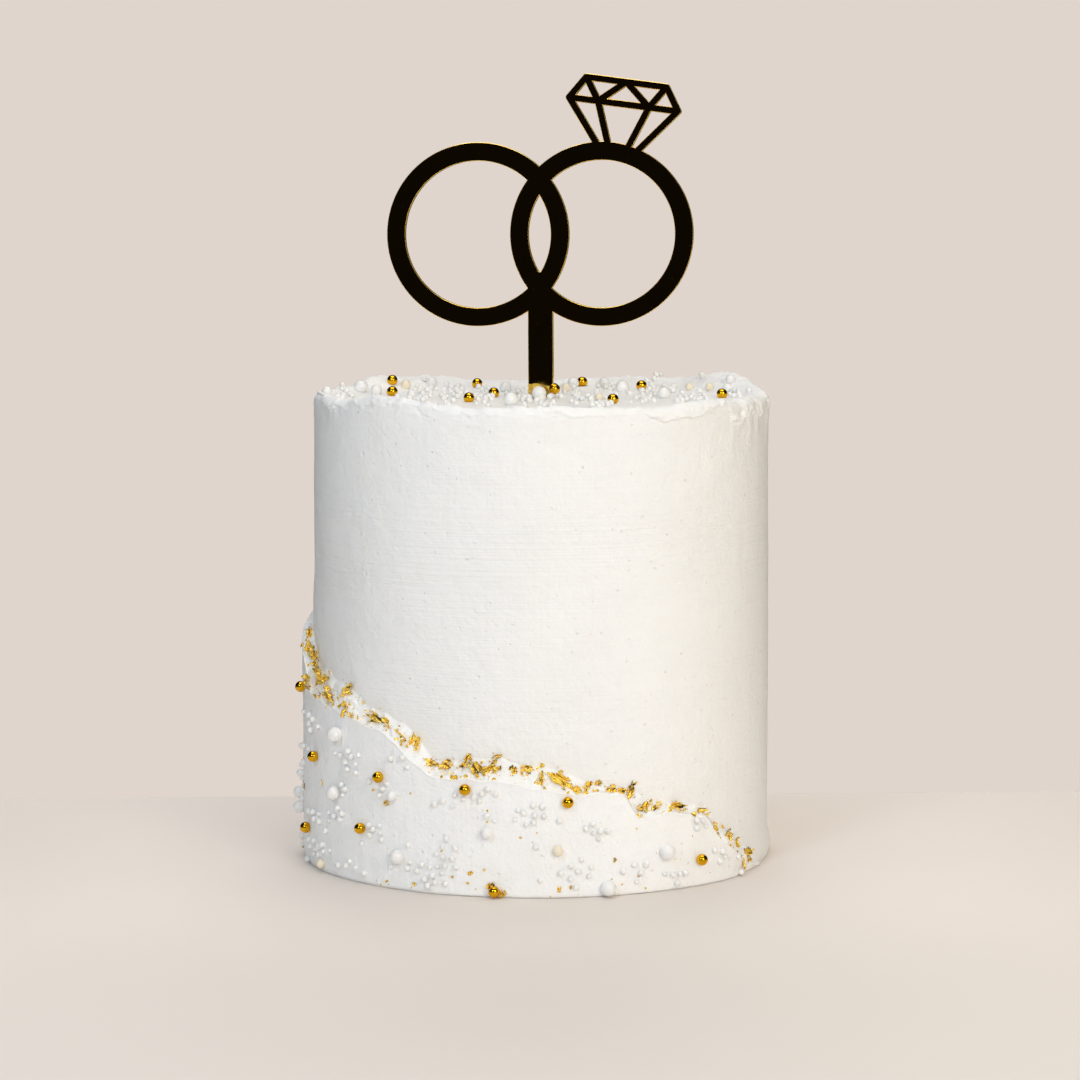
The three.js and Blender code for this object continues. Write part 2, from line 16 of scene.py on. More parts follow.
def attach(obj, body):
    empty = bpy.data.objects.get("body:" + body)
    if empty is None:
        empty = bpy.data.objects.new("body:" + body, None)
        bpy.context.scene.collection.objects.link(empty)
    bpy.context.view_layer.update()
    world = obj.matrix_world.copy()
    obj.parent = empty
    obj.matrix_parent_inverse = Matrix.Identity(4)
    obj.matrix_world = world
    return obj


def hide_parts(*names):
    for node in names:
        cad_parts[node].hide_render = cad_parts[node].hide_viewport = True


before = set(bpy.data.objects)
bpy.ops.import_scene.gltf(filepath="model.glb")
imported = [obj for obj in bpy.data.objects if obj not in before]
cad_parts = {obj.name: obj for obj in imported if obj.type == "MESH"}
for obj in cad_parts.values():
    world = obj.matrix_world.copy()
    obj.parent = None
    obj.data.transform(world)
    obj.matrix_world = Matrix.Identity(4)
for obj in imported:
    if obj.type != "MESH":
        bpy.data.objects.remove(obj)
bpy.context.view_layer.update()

MM = 0.001
GOLDEN_ANGLE = 2.39996

# ---- the cake's dimensions ----

CAKE_RADIUS = 82.5
PLATEAU_HEIGHT = 165.6
CREST_RADIUS = 80.0
CREST_HEIGHT = 167.6

# Where the rim stands higher or lower than that: azimuth, half width in degrees, height.
RIM_SWELLS = [
    (-140, 18, 2.9), (-131, 6, 1.3), (-78, 14, 1.4), (-42, 16, 2.9), (20, 9, -0.6), (50, 9, 0.4),
    (118, 17, 4.6), (150, 15, 1.6),
]

COAT_START = -246.0
COAT_END = 68.0
COAT_FOOT = 0.15
COAT_RADIUS = [(-246, 84.2), (-236, 86.4), (-86, 86.7), (54.6, 86.7), (56.4, 84.9), (68, 83.9)]

# Top of the coat's outside, where the icing is torn, and how much higher the torn face ends.
COAT_CREST = [
    (-246, 1.6), (-238, 20), (-225, 52), (-208, 83), (-190, 101), (-170, 107), (-150, 105),
    (-112, 89), (-86, 79.5), (-78, 74.3), (-72, 62.5), (-50, 59.2), (-47, 56.6), (-39.5, 55.5),
    (-26, 41), (-10, 41), (0, 38), (8, 36), (19, 36), (22.3, 26), (30, 27.8), (41, 24.5),
    (46, 15.3), (54.6, 7), (56.4, 4.2), (68, 1.4),
]
TORN_HEIGHT = [
    (-246, 1.6), (-238, 5), (-208, 8), (-150, 6), (-86, 5.7), (-78, 3.5), (-72, 11), (-56, 8.3),
    (-40, 4.8), (-31, 8), (-27.5, 4), (-17, 7.5), (-11, 7.8), (-5, 5.8), (3, 7.3), (14, 2.6),
    (19.5, 1.4), (22.8, 10.6), (24.4, 5.6), (35, 2.4), (47, 5), (54, 8.2), (62, 4.8), (68, 1.6),
]

CAKE_COLUMNS = 720
COAT_COLUMNS = 1000

GOLD_BALL = 4.0
SMALL_PEARL = 2.25
TINY_PEARL = 1.8
SUNK = 0.14
BALL_SPACING = 0.15

# Balls on the top: x, y, diameter, and x, y, half width, half depth, count for a group.
TOP_GOLD = [
    (-55, 46.5), (-54, 21), (-23.5, 64), (-16.5, 10.5), (-25, -18), (5.5, 32), (16.5, 71.5),
    (26, -33), (38.5, 49), (66, -3),
]
TOP_PEARLS = [
    (-77, 5.5, 3.4), (-66, 32, 4.9), (-60, 25.5, 4.3), (-40.5, 58.5, 4.1), (-46.5, 12, 3.4),
    (-12.5, 36, 4.2), (-10, -30, 5.2), (0, -7, 5.2), (13, 66, 4.3), (13.5, 21, 2.7),
    (18.5, -21.5, 2.4), (25, 68, 4), (31, 36.5, 5.1), (45, -3, 4.8), (50.5, 46, 2.7),
    (61, 43, 2.6), (69, 17.5, 3.5), (70.5, 24, 3.7), (76, 2, 2.4),
]
TOP_IVORY = [(-50, 47, 3.8), (10, 38.5, 3.5), (21.5, -16, 2.9), (56, 36, 3.1), (63, 27, 3.1)]
TOP_GROUPS = [
    (-43, 42, 5, 22, 9), (-32, 32, 5, 34, 16), (-42, -5, 4, 4, 3), (-20, 2, 4, 36, 9),
    (-7, 30, 5, 12, 7), (-2.5, -18, 5, 7, 6), (3, -38, 3, 18, 4), (21, -50, 4, 11, 7),
    (18, -10, 6, 12, 5), (26, 56, 5, 8, 6), (38, -14, 4, 24, 6), (44, 44, 5, 26, 14),
    (56, -10, 6, 18, 9), (71, 0, 3, 15, 5), (-71, 15, 3, 20, 5),
]

# Balls on the coat: azimuth, height, diameter, and azimuth, height, half width, half height, count.
SIDE_GOLD = [
    (-79, 63.3), (-67, 40.8), (-40, 39), (-17.3, 37.4), (-74, 13.3), (-46, 19.9), (-10.8, 2.4),
    (5.8, 33.4), (39, 9.5),
]
SIDE_PEARLS = [
    (-55, 51.4, 5.4), (-56, 30.4, 5), (-36, 33, 3.7), (-34.6, 12.1, 5.1), (-12.3, 22.8, 4.3),
    (-88, 22.4, 4.5), (-87, 17.2, 4.5), (-84, 30.5, 3), (29.3, 13.9, 5.4), (14.8, 3.2, 5.4),
]
SIDE_IVORY = [(-63.3, 3, 3.3), (3.5, 16.7, 3.7)]
SIDE_GROUPS = [
    (-69, 52.5, 8, 3, 5), (-50, 43, 6, 5, 8), (-53, 32.5, 3.2, 3, 4), (-77, 39.8, 10, 6, 4),
    (-38, 34.5, 5, 4, 6), (-34, 46, 5, 4, 3), (-56, 21.9, 6.3, 3.2, 9), (-68, 19.3, 7, 2.4, 5),
    (-67, 8.8, 13, 2.9, 11), (-86, 7, 6, 4.4, 5), (-42, 19.3, 5, 4.4, 8), (-51, 4.5, 9, 3, 9),
    (-31, 8.5, 4, 3.2, 5), (-15, 35.6, 8.5, 2.4, 10), (-23, 32, 5, 2, 4), (-3, 29.6, 6, 4.4, 13),
    (-12, 25, 4, 2.4, 3), (-22, 14, 5, 6, 9), (-25, 6, 6, 4, 7), (13, 23.4, 5, 3.6, 9),
    (31.6, 5, 5, 2.4, 10), (8, 8, 6, 5, 7), (22, 8, 5, 5, 5), (38, 22.4, 4, 2, 6),
    (46, 10, 2.4, 3, 5),
]
# More small pearls than the groups have: the groups on the top once more, a little wider and thinner,
# and pearls scattered over an oval on the top and over the coat, from an azimuth on.
WIDER_GROUP = 1.2
THINNER_GROUP = 0.8
TOP_OVAL = (0, 6, 62, 58)
SCATTERED_ON_TOP = 80
SCATTERED_ON_COAT = 60
SCATTER_START = -238
SCATTER_SPAN = 296

# Stations of pearls, gold balls and groups round the back.
BACK_FIRST = -101.0
BACK_STEP = -13.4
BACK_COUNT = 10

PLATE_THICKNESS = 3.0
PLATE_LEAN = -0.5
PLATE_YAW = -6.0
RING_OUTER = 33.0
RING_INNER = 26.4
RING_HEIGHT = 59.0
RING_MIDDLE = 0.6
RING_OFFSET = 22.35
STAKE_WIDTH = 9.0
STAKE_MIDDLE = 0.75
STAKE_TOP = 36.0
STAKE_DEPTH = 40.0
STAKE_CLEARANCE = 1.1
WEB_LOW = RING_HEIGHT - 17
WEB_HIGH = RING_HEIGHT - 13.4
WEB_WIDTH = 3.2
GEM_CORNER = (9.4, 108.1)
GEM_TILT = -7.8
GEM_WIDTH = 43.6
GEM_CROWN = 9.2
GEM_TOP_INSET = 6.1
GEM_PAVILION = 26.0
GEM_FACET = 9.2
GEM_STROKE = 2.5
CHAMFER = 0.14
RING_STEPS = 200
CUTTER_STEPS = 96

# ---- numbers ----


def wrap(azimuth):
    """The same azimuth, from -180 to 180."""
    return np.mod(np.asarray(azimuth, float) + 180, 360) - 180


def evened(*values):
    """Numbers and rows of numbers as arrays of the same length."""
    return [np.asarray(v, float) for v in np.broadcast_arrays(*values)]


def bell(t):
    """1 at 0, 1/e at 1 and -1, and fading to 0 outside them."""
    return np.exp(-(t**2))


def bump(azimuth, centre, width):
    """A swell round the axis, a bell of the given half width in degrees."""
    return bell(wrap(azimuth - centre) / width)


def ease(t):
    """0 below 0, 1 above 1, and a smooth step between."""
    t = np.clip(t, 0, 1)
    return t * t * (3 - 2 * t)


def keyed(keys, x, span=1.5):
    """Value at x of a row of (x, value) keys, straight between them, with its corners softened by the
    mean over a span to either side."""
    places, values = np.array(keys, float).T
    return sum(np.interp(x + shift, places, values) for shift in np.linspace(-span, span, 7)) / 7


def draw(number):
    """The same uneven draw from 0 to 1 for a given number every time."""
    wave = np.sin(np.asarray(number, float) * 12.9898 + 4.1414) * 43758.5453
    return wave - np.floor(wave)


def noise(x, y, z, size, seed=0.0):
    """A smooth uneven field from -1 to 1: a draw at every corner of cubes of the given size, eased
    from corner to corner."""
    places = [v / size + seed for v in evened(x, y, z)]
    cells = [np.floor(v) for v in places]
    shares = [ease(v - cell) for v, cell in zip(places, cells)]
    total = 0.0
    for corner in np.ndindex(2, 2, 2):
        key = sum((cell + side) * factor for cell, side, factor in zip(cells, corner, (1, 57.31, 113.97)))
        weight = np.prod([share if side else 1 - share for share, side in zip(shares, corner)], axis=0)
        total = total + weight * draw(key)
    return 2 * total - 1


def polar(azimuth, radius, z):
    """Points at an azimuth, a radius and a height."""
    a = np.radians(azimuth)
    return np.stack(np.broadcast_arrays(radius * np.sin(a), -radius * np.cos(a), z), axis=-1)


def axes(azimuth, radius, z):
    """The same points as three arrays, x, y and z."""
    return np.moveaxis(polar(azimuth, radius, z), -1, 0)


# ---- surfaces of the icing ----


def side_radius(azimuth, z):
    """Radius of the cake's side: a scraped wall that wavers a little, with a foot that spreads at
    the right."""
    a = np.radians(azimuth)
    waver = 0.16 * np.sin(3 * a + 0.6 + z / 40) + 0.1 * np.sin(8 * a - z / 17)
    foot = 0.25 + 1.1 * bump(azimuth, 95, 38)
    return CAKE_RADIUS + waver + foot * bell((z - 4) / 3.6)


def crest_height(azimuth):
    """Height of the rim: level, with its swells and a small ripple."""
    a = np.radians(azimuth)
    swells = sum(height * bump(azimuth, centre, width) for centre, width, height in RIM_SWELLS)
    return CREST_HEIGHT + swells + 0.2 * np.sin(9 * a + 1) + 0.15 * np.sin(17 * a + 2)


def slope_width(azimuth):
    """Width of the slope from the crest down to the plateau."""
    return 8 + 8 * bump(azimuth, -133, 16) + 8 * bump(azimuth, 120, 18)


def top_height(x, y):
    """Height of the top: a nearly flat plateau that rises to the crest in a smooth slope."""
    azimuth = np.degrees(np.arctan2(x, -y))
    width = slope_width(azimuth)
    rise = ease((np.hypot(x, y) - (CREST_RADIUS - width)) / width)
    plateau = PLATEAU_HEIGHT + 0.22 * np.sin(x / 13 + y / 29 + 0.7)
    plateau = plateau + 0.16 * np.sin(y / 9 - x / 31 + 2.1)
    return plateau + (crest_height(azimuth) - plateau) * rise


def coat_radius(azimuth, z):
    """Radius of the second coat's outside."""
    a = np.radians(azimuth)
    waver = 0.16 * np.sin(4 * a + z / 22) + 0.1 * np.sin(11 * a - z / 9)
    return keyed(COAT_RADIUS, azimuth, 4) + waver


def coat_crest(azimuth):
    """Height of the torn edge's lower line, with a fine ragged wander."""
    a = np.radians(azimuth)
    return keyed(COAT_CREST, azimuth) + 0.2 * np.sin(37 * a) + 0.2 * np.sin(61 * a + 1)


def coat_feather(azimuth):
    """Height of the torn edge's upper line, where it feathers out on the cake's side."""
    a = np.radians(azimuth)
    return coat_crest(azimuth) + keyed(TORN_HEIGHT, azimuth) + 0.3 * np.sin(43 * a + 2)


def torn_face(azimuth, share):
    """Radius and height on the torn face, a little hollow between its two lines."""
    low, high = coat_crest(azimuth), coat_feather(azimuth)
    outside = coat_radius(azimuth, low) - 0.3
    inside = side_radius(azimuth, high) + 0.3
    radius = outside + (inside - outside) * share
    return radius, low + (high - low) * share - 0.8 * np.sin(np.pi * share)


# ---- meshes ----


def mesh_object(name, points, faces):
    """A mesh object from points and faces, linked to the scene."""
    mesh = bpy.data.meshes.new(name)
    mesh.from_pydata(np.asarray(points, float).reshape(-1, 3), [], faces)
    made = bpy.data.objects.new(name, mesh)
    bpy.context.scene.collection.objects.link(made)
    return made


def put_piece(name, points, faces, material, slot, node=None, smooth=True, **attributes):
    """A piece from points in millimetres and faces, riding on the cake's one body. Numbers given by
    name are kept on its points, for its material to read."""
    piece = mesh_object(name, np.asarray(points, float) * MM, faces)
    mesh = piece.data
    mesh.polygons.foreach_set("use_smooth", np.full(len(mesh.polygons), smooth))
    for key, values in attributes.items():
        mesh.attributes.new(key, "FLOAT", "POINT").data.foreach_set("value", np.ravel(values))
    mesh.update()
    mesh.materials.append(material)
    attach(piece, "root")
    if node:
        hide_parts(node)
    return piece


def grid_faces(rows, columns, closed=False):
    """Four-sided faces between the neighbours of a grid of points, kept row by row. A closed grid
    joins its last column to its first."""
    row, column = np.indices((rows - 1, columns if closed else columns - 1))
    after = (column + 1) % columns
    here, above = row * columns, (row + 1) * columns
    return np.stack([here + column, here + after, above + after, above + column], axis=-1).reshape(-1, 4)


def fan_faces(centre, first, count, outward):
    """Triangles from one point to a closed loop of points."""
    here = np.arange(count)
    after = (here + 1) % count
    loop = [first + here, first + after] if outward else [first + after, first + here]
    return np.stack([np.full(count, centre), *loop], axis=-1)


def capped_tube(loops, ends, outward):
    """Points and faces of a tube through closed loops, with a fan of triangles to a point at each
    end. The faces are turned round where the loops run the other way than outward faces need."""
    rows, columns, _ = loops.shape
    count = rows * columns
    wall = grid_faces(rows, columns, closed=True)
    faces = [
        *(wall if outward else wall[:, ::-1]).tolist(),
        *fan_faces(count, 0, columns, not outward).tolist(),
        *fan_faces(count + 1, count - columns, columns, outward).tolist(),
    ]
    return np.concatenate([loops.reshape(-1, 3), ends]), faces


def ball_shape(detail):
    """Corners and faces of a round ball of radius 1."""
    shape = bmesh.new()
    bmesh.ops.create_icosphere(shape, subdivisions=detail, radius=1)
    corners = np.array([corner.co[:] for corner in shape.verts])
    faces = np.array([[corner.index for corner in face.verts] for face in shape.faces])
    shape.free()
    return corners, faces


def repeated(corners, faces, count):
    """The faces of a shape that is repeated, numbered on from one copy to the next."""
    return (faces[None] + len(corners) * np.arange(count)[:, None, None]).reshape(-1, faces.shape[1])


# ---- materials ----


class Value:
    """A number that varies over a surface, combined by arithmetic as plain numbers are."""

    def __init__(self, finish, socket):
        self.finish = finish
        self.socket = socket

    def math(self, operation, *values):
        """One operation in a Math node."""
        return self.finish.add("ShaderNodeMath", {"operation": operation}, values)

    def __add__(self, other):
        return self.math("ADD", self, other)

    def __sub__(self, other):
        return self.math("SUBTRACT", self, other)

    def __rsub__(self, other):
        return self.math("SUBTRACT", other, self)

    def __mul__(self, other):
        return self.math("MULTIPLY", self, other)

    __radd__ = __add__
    __rmul__ = __mul__

    def between(self, low, high):
        """0 at low, 1 at high, and held outside them."""
        return self.finish.add("ShaderNodeMapRange", {"clamp": True}, [self, low, high])


class Finish:
    """A material with its Principled shader. Numbers given by name are set on the shader's sockets."""

    def __init__(self, name, **constants):
        self.material = bpy.data.materials.new(name)
        self.material.use_nodes = True
        self.tree = self.material.node_tree
        self.shader = self.tree.nodes["Principled BSDF"]
        for key, value in constants.items():
            self.shader.inputs[key.replace("_", " ")].default_value = value
        self.place = self.add("ShaderNodeTexCoord", {}, (), "Object")

    def add(self, kind, settings, sockets=(), output=0):
        """A node: its settings first, then the values or links of its sockets."""
        node = self.tree.nodes.new(kind)
        for key, value in settings.items():
            setattr(node, key, value)
        for key, value in sockets.items() if isinstance(sockets, dict) else enumerate(sockets):
            self.feed(node.inputs[key], value)
        return Value(self, node.outputs[output])

    def feed(self, socket, value):
        """Sets a socket to a number or colour, or links a value to it."""
        if isinstance(value, Value):
            self.tree.links.new(value.socket, socket)
        else:
            socket.default_value = value

    def stretched(self, x, y, z):
        """The place on the object, with its three directions scaled."""
        return self.add("ShaderNodeVectorMath", {"operation": "MULTIPLY"}, [self.place, (x, y, z)])

    def clouds(self, scale, detail=2.0, roughness=0.5, place=None):
        """Soft uneven noise, scale in features a metre."""
        sockets = {"Vector": place or self.place, "Scale": scale, "Detail": detail, "Roughness": roughness}
        return self.add("ShaderNodeTexNoise", {}, sockets)

    def cells(self, scale):
        """Distance to the nearest of scattered points."""
        return self.add("ShaderNodeTexVoronoi", {}, {"Vector": self.place, "Scale": scale})

    def attribute(self, name):
        """A number kept on the mesh's points."""
        return self.add("ShaderNodeAttribute", {"attribute_name": name}, (), "Fac")

    def mixed(self, share, low, high):
        """A colour between two colours."""
        settings = {"data_type": "RGBA", "blend_type": "MIX"}
        return self.add("ShaderNodeMix", settings, {0: share, 6: low, 7: high}, 2)

    def raised(self, height, distance, strength=1.0):
        """The surface's direction, bumped by a height."""
        sockets = {"Strength": strength, "Distance": distance, "Height": height}
        return self.add("ShaderNodeBump", {}, sockets)

    def surface(self, **fields):
        """Feeds the shader's sockets with what varies, and gives the material back."""
        for key, value in fields.items():
            self.feed(self.shader.inputs[key.replace("_", " ")], value)
        return self.material


WHITE_ICING = (0.9, 0.895, 0.88, 1)
SHADED_ICING = (0.87, 0.865, 0.85, 1)
# Painted light: the coat's white is a little brighter than the cake's icing.
COAT_WHITE_PAINTED_LIGHT = (0.93, 0.927, 0.915, 1)
# Painted light: the torn face is made whiter than the icing round it.
TORN_PAINTED_LIGHT = (0.985, 0.98, 0.96, 1)
PEARL_WHITE = (0.87, 0.865, 0.85, 1)
PEARL_SHADE = (0.82, 0.81, 0.79, 1)
IVORY_SUGAR = (0.86, 0.78, 0.62, 1)
IVORY_SHADE = (0.8, 0.71, 0.54, 1)
DEEP_GOLD = (0.84, 0.46, 0.014, 1)
DULL_GOLD = (0.72, 0.37, 0.01, 1)
LEAF_YELLOW = (1.0, 0.78, 0.15, 1)
LEAF_GOLD = (1.0, 0.64, 0.07, 1)
LEAF_ORANGE = (0.95, 0.42, 0.02, 1)
# Dark brown painted shade for the leaf's creases.
LEAF_CREASE_SHADE = (0.035, 0.012, 0.002, 1)
MIRROR_GOLD = (0.82, 0.54, 0.08, 1)
MIRROR_SHADE = (0.7, 0.48, 0.1, 1)
EDGE_AMBER = (1.0, 0.74, 0.16, 1)
EDGE_SHADE = (0.85, 0.52, 0.06, 1)
PAINT_GOLD = (0.62, 0.44, 0.14, 1)
PAINT_SHADE = (0.5, 0.34, 0.1, 1)
PALE_FLOOR = (0.82, 0.755, 0.7, 1)
SHADED_FLOOR = tuple(0.97 * value for value in PALE_FLOOR[:3]) + (1,)
PALE_WALL = (0.745, 0.665, 0.61, 1)
DARK_ROOM = (0.005, 0.0045, 0.003, 1)

# Heights in metres between which the scraper's lines grow stronger, and then fade again.
GIRDLE_FOOT = (0.092, 0.108)
GIRDLE_TOP = (0.128, 0.14)


def icing(name, white, shade, level, upright, crumb):
    """Buttercream: nearly white, with faint cloudy shade, a leathery grain, soft dents and pinhole
    bubbles. Fine scraper lines run level, in bands and most of all in a girdle above the cake's
    middle, or upright. Heights are in millimetres. A torn face, named by the mesh, is painted whiter,
    as painted light, and its grain grows to crumbs."""
    finish = Finish(
        name, IOR=1.45, Subsurface_Weight=0.1, Subsurface_Radius=(1.0, 0.85, 0.6), Subsurface_Scale=0.0015,
        Specular_IOR_Level=0.35,
    )
    torn = finish.attribute("torn")
    clouds = finish.clouds(38, 3)
    bands = finish.clouds(1, 2, 0.5, finish.stretched(9, 9, 75)).between(0.46, 0.66)
    up = finish.add("ShaderNodeSeparateXYZ", {}, [finish.place], "Z")
    girdle = up.between(*GIRDLE_FOOT) * (1 - up.between(*GIRDLE_TOP))
    lines = finish.clouds(1, 2, 0.6, finish.stretched(9, 9, 1250))
    drags = finish.clouds(1, 2, 0.6, finish.stretched(420, 420, 22))
    grain = finish.clouds(620, 3, 0.65)
    dents = finish.clouds(150, 2)
    pinholes = 1 - finish.cells(215).between(0.03, 0.12)
    crumbs = finish.clouds(850, 4, 0.7)
    grooves = lines.between(0.6, 0.68) * bands
    scraped = level * (lines * (0.3 + 0.5 * bands + 0.7 * girdle) - 0.12 * grooves) + upright * drags
    height = scraped + 0.35 * grain + 0.62 * dents - 0.28 * pinholes + crumb * torn * crumbs
    smooth = finish.mixed(clouds.between(0.3, 0.75), white, shade)
    return finish.surface(
        # Painted light: the torn face is mixed towards a brighter white.
        Base_Color=finish.mixed(torn, smooth, TORN_PAINTED_LIGHT),
        Roughness=0.4 + 0.22 * clouds,
        Normal=finish.raised(height, MM),
    )


def mottled(name, mottle, colours, roughness, grain, **constants):
    """A finish with a soft mottle, which leads from one colour to another and adds to the roughness,
    and a fine grain. The mottle is its scale and detail and the values where the colours start and
    end, the roughness is its least and what is added, and the grain is its scale, detail, height and
    strength."""
    finish = Finish(name, **constants)
    scale, detail, start, end = mottle
    clouds = finish.clouds(scale, detail)
    least, added = roughness
    scale, detail, height, strength = grain
    return finish.surface(
        Base_Color=finish.mixed(clouds.between(start, end), *colours),
        Roughness=least + added * clouds,
        Normal=finish.raised(finish.clouds(scale, detail), height, strength),
    )


def pearl_gloss(name, *colours):
    """Polished sugar pearl: a pale body with a soft cloud of shade and a thin clear coat."""
    return mottled(
        name, (420, 2, 0.3, 0.8), colours, (0.24, 0.12), (2600, 2, 0.02 * MM, 0.5),
        IOR=1.5, Subsurface_Weight=0.15, Subsurface_Radius=(1.0, 0.9, 0.7), Subsurface_Scale=0.001,
        Coat_Weight=0.35, Coat_Roughness=0.12,
    )


def gold_polish(name):
    """Metallic gold coating on a sugar ball: deep yellow, slightly cloudy, with a faint orange peel."""
    colours = (DEEP_GOLD, DULL_GOLD)
    return mottled(name, (500, 2, 0.35, 0.75), colours, (0.16, 0.12), (1900, 2, 0.03 * MM, 0.4), Metallic=1.0)


def foil(name):
    """Crumpled gold leaf: bright yellow between fine orange ridges, and dark brown painted shade in its
    creases and along parts of its outline, which the mesh names. The ridges lie where a noise crosses its
    middle. A little light of its own colour stands for what the foil throws from fold to fold."""
    finish = Finish(
        name, Metallic=0.8, IOR=1.6, Coat_Weight=0.15, Coat_Roughness=0.12, Emission_Strength=0.14,
    )
    clouds = finish.clouds(520, 3)
    fine = finish.clouds(780, 3, 0.6)
    from_ridge = finish.add("ShaderNodeMath", {"operation": "ABSOLUTE"}, [fine - 0.5])
    crease = finish.attribute("crease")
    open_leaf = finish.mixed(clouds.between(0.42, 0.68), LEAF_YELLOW, LEAF_GOLD)
    ridged = finish.mixed(from_ridge.between(0.005, 0.04), LEAF_ORANGE, open_leaf)
    # Painted shade: the creases turn dark brown.
    creased = finish.mixed(crease, ridged, LEAF_CREASE_SHADE)
    return finish.surface(
        Base_Color=creased,
        Emission_Color=creased,
        Roughness=0.14 + 0.2 * clouds,
        Normal=finish.raised(0.45 * fine, MM, 0.8),
    )


def mirror_sheet(name):
    """Gold mirror sheet: a flat polished face with the faintest smears, specks and ripples."""
    finish = Finish(name, Metallic=1.0)
    smears = finish.clouds(70, 4)
    specks = 1 - finish.cells(380).between(0.03, 0.07)
    return finish.surface(
        Base_Color=finish.mixed(smears.between(0.4, 0.7), MIRROR_GOLD, MIRROR_SHADE),
        Roughness=0.015 + 0.03 * smears.between(0.45, 0.8) + 0.15 * specks,
        Normal=finish.raised(finish.clouds(150, 1), MM, 0.05),
    )


def cut_edge(name):
    """The sheet's cut edge: clear amber gold with fine lines across it, from one face to the other."""
    finish = Finish(name, Metallic=0.75)
    lines = finish.clouds(1, 2, 0.5, finish.stretched(900, 60, 900))
    return finish.surface(
        Base_Color=finish.mixed(lines.between(0.3, 0.7), EDGE_AMBER, EDGE_SHADE),
        Roughness=0.22 + 0.1 * lines,
        Normal=finish.raised(lines, 0.05 * MM, 0.5),
    )


def painted_back(name):
    """The sheet's back: satin gold paint with a fine mottle."""
    colours = (PAINT_GOLD, PAINT_SHADE)
    return mottled(name, (900, 3, 0.3, 0.7), colours, (0.38, 0.15), (900, 3, 0.03 * MM, 0.4), Metallic=0.7)


# ---- the cake ----

# Flaps of icing at the rim: azimuth, half width in degrees, depth of the lower edge below the crest,
# how much less deep it is at its ends, and how far it stands out.
RIM_FLAPS = [
    (-80, 5, 5.5, 3.5, 0.3), (-63, 7, 3.6, 2.4, 1.2), (-44, 9, 3.2, 1.2, 0.5), (-28, 7, 2.2, 1.2, 0.4),
    (-13, 8, 2.6, 1.6, 0.4), (10, 10, 3.4, 2.4, 0.5), (37, 14, 5.4, 4.4, 1.1), (57, 5, 8.2, 6, 1.5),
    (69, 8, 6.5, 5, 1),
]
FLAPS_BEHIND = 22


def rim_flaps(azimuth, drop):
    """Icing that was folded over the rim in overlapping flaps. Each stands out above a curved lower
    edge, sharply there and less and less towards the crest."""
    behind = np.arange(FLAPS_BEHIND)
    more = np.stack([
        98 + 160 * (behind + draw(behind)) / FLAPS_BEHIND, 4 + 7 * draw(behind + 31),
        2.4 + 4 * draw(behind + 47), 1 + 3 * draw(behind + 59), 0.3 + 0.4 * draw(behind + 73),
    ], axis=-1)
    total = 0.0
    for centre, width, depth, rise, thickness in [*RIM_FLAPS, *more]:
        along = wrap(azimuth - centre) / width
        wander = 0.5 * np.sin(9 * along + centre) + 0.3 * np.sin(23 * along + 2 * centre)
        above = depth - rise * along**2 + wander - drop
        inside = np.exp(-np.abs(along) ** 4)
        total = total + thickness * inside * ease(above / 0.35) * np.exp(-np.maximum(above, 0) / 4)
    return total


def rim_smears(azimuth, drop, x, y, z):
    """The rim's fine relief: smears that end in crisp steps, thin cracks that run nearly level, and
    upright folds at the right, all fading out down the side."""
    near = bell(np.maximum(drop - 1.5, 0) / 5)
    steps = ease((noise(x, y, 3 * z, 7, 8.4) + 0.12) / 0.2) + 0.7 * ease(noise(x, y, 2.2 * z, 3, 2.9) / 0.3)
    cracks = np.clip(1 - 10 * np.abs(noise(x, y, 2.6 * z, 7, 5.7)), 0, 1) * ease(noise(x, y, z, 9, 1.2) * 3)
    folds = np.abs(noise(x, y, 0.2 * z, 3.4, 6.1)) * bell(drop / 11)
    sides = bump(azimuth, 73, 19) + 0.4 * bump(azimuth, -66, 7)
    calm = 1 - 0.7 * bump(azimuth, -88, 10)
    return calm * near * (0.16 * steps - 0.75 * cracks) + 1.8 * sides * folds - 0.25 * near


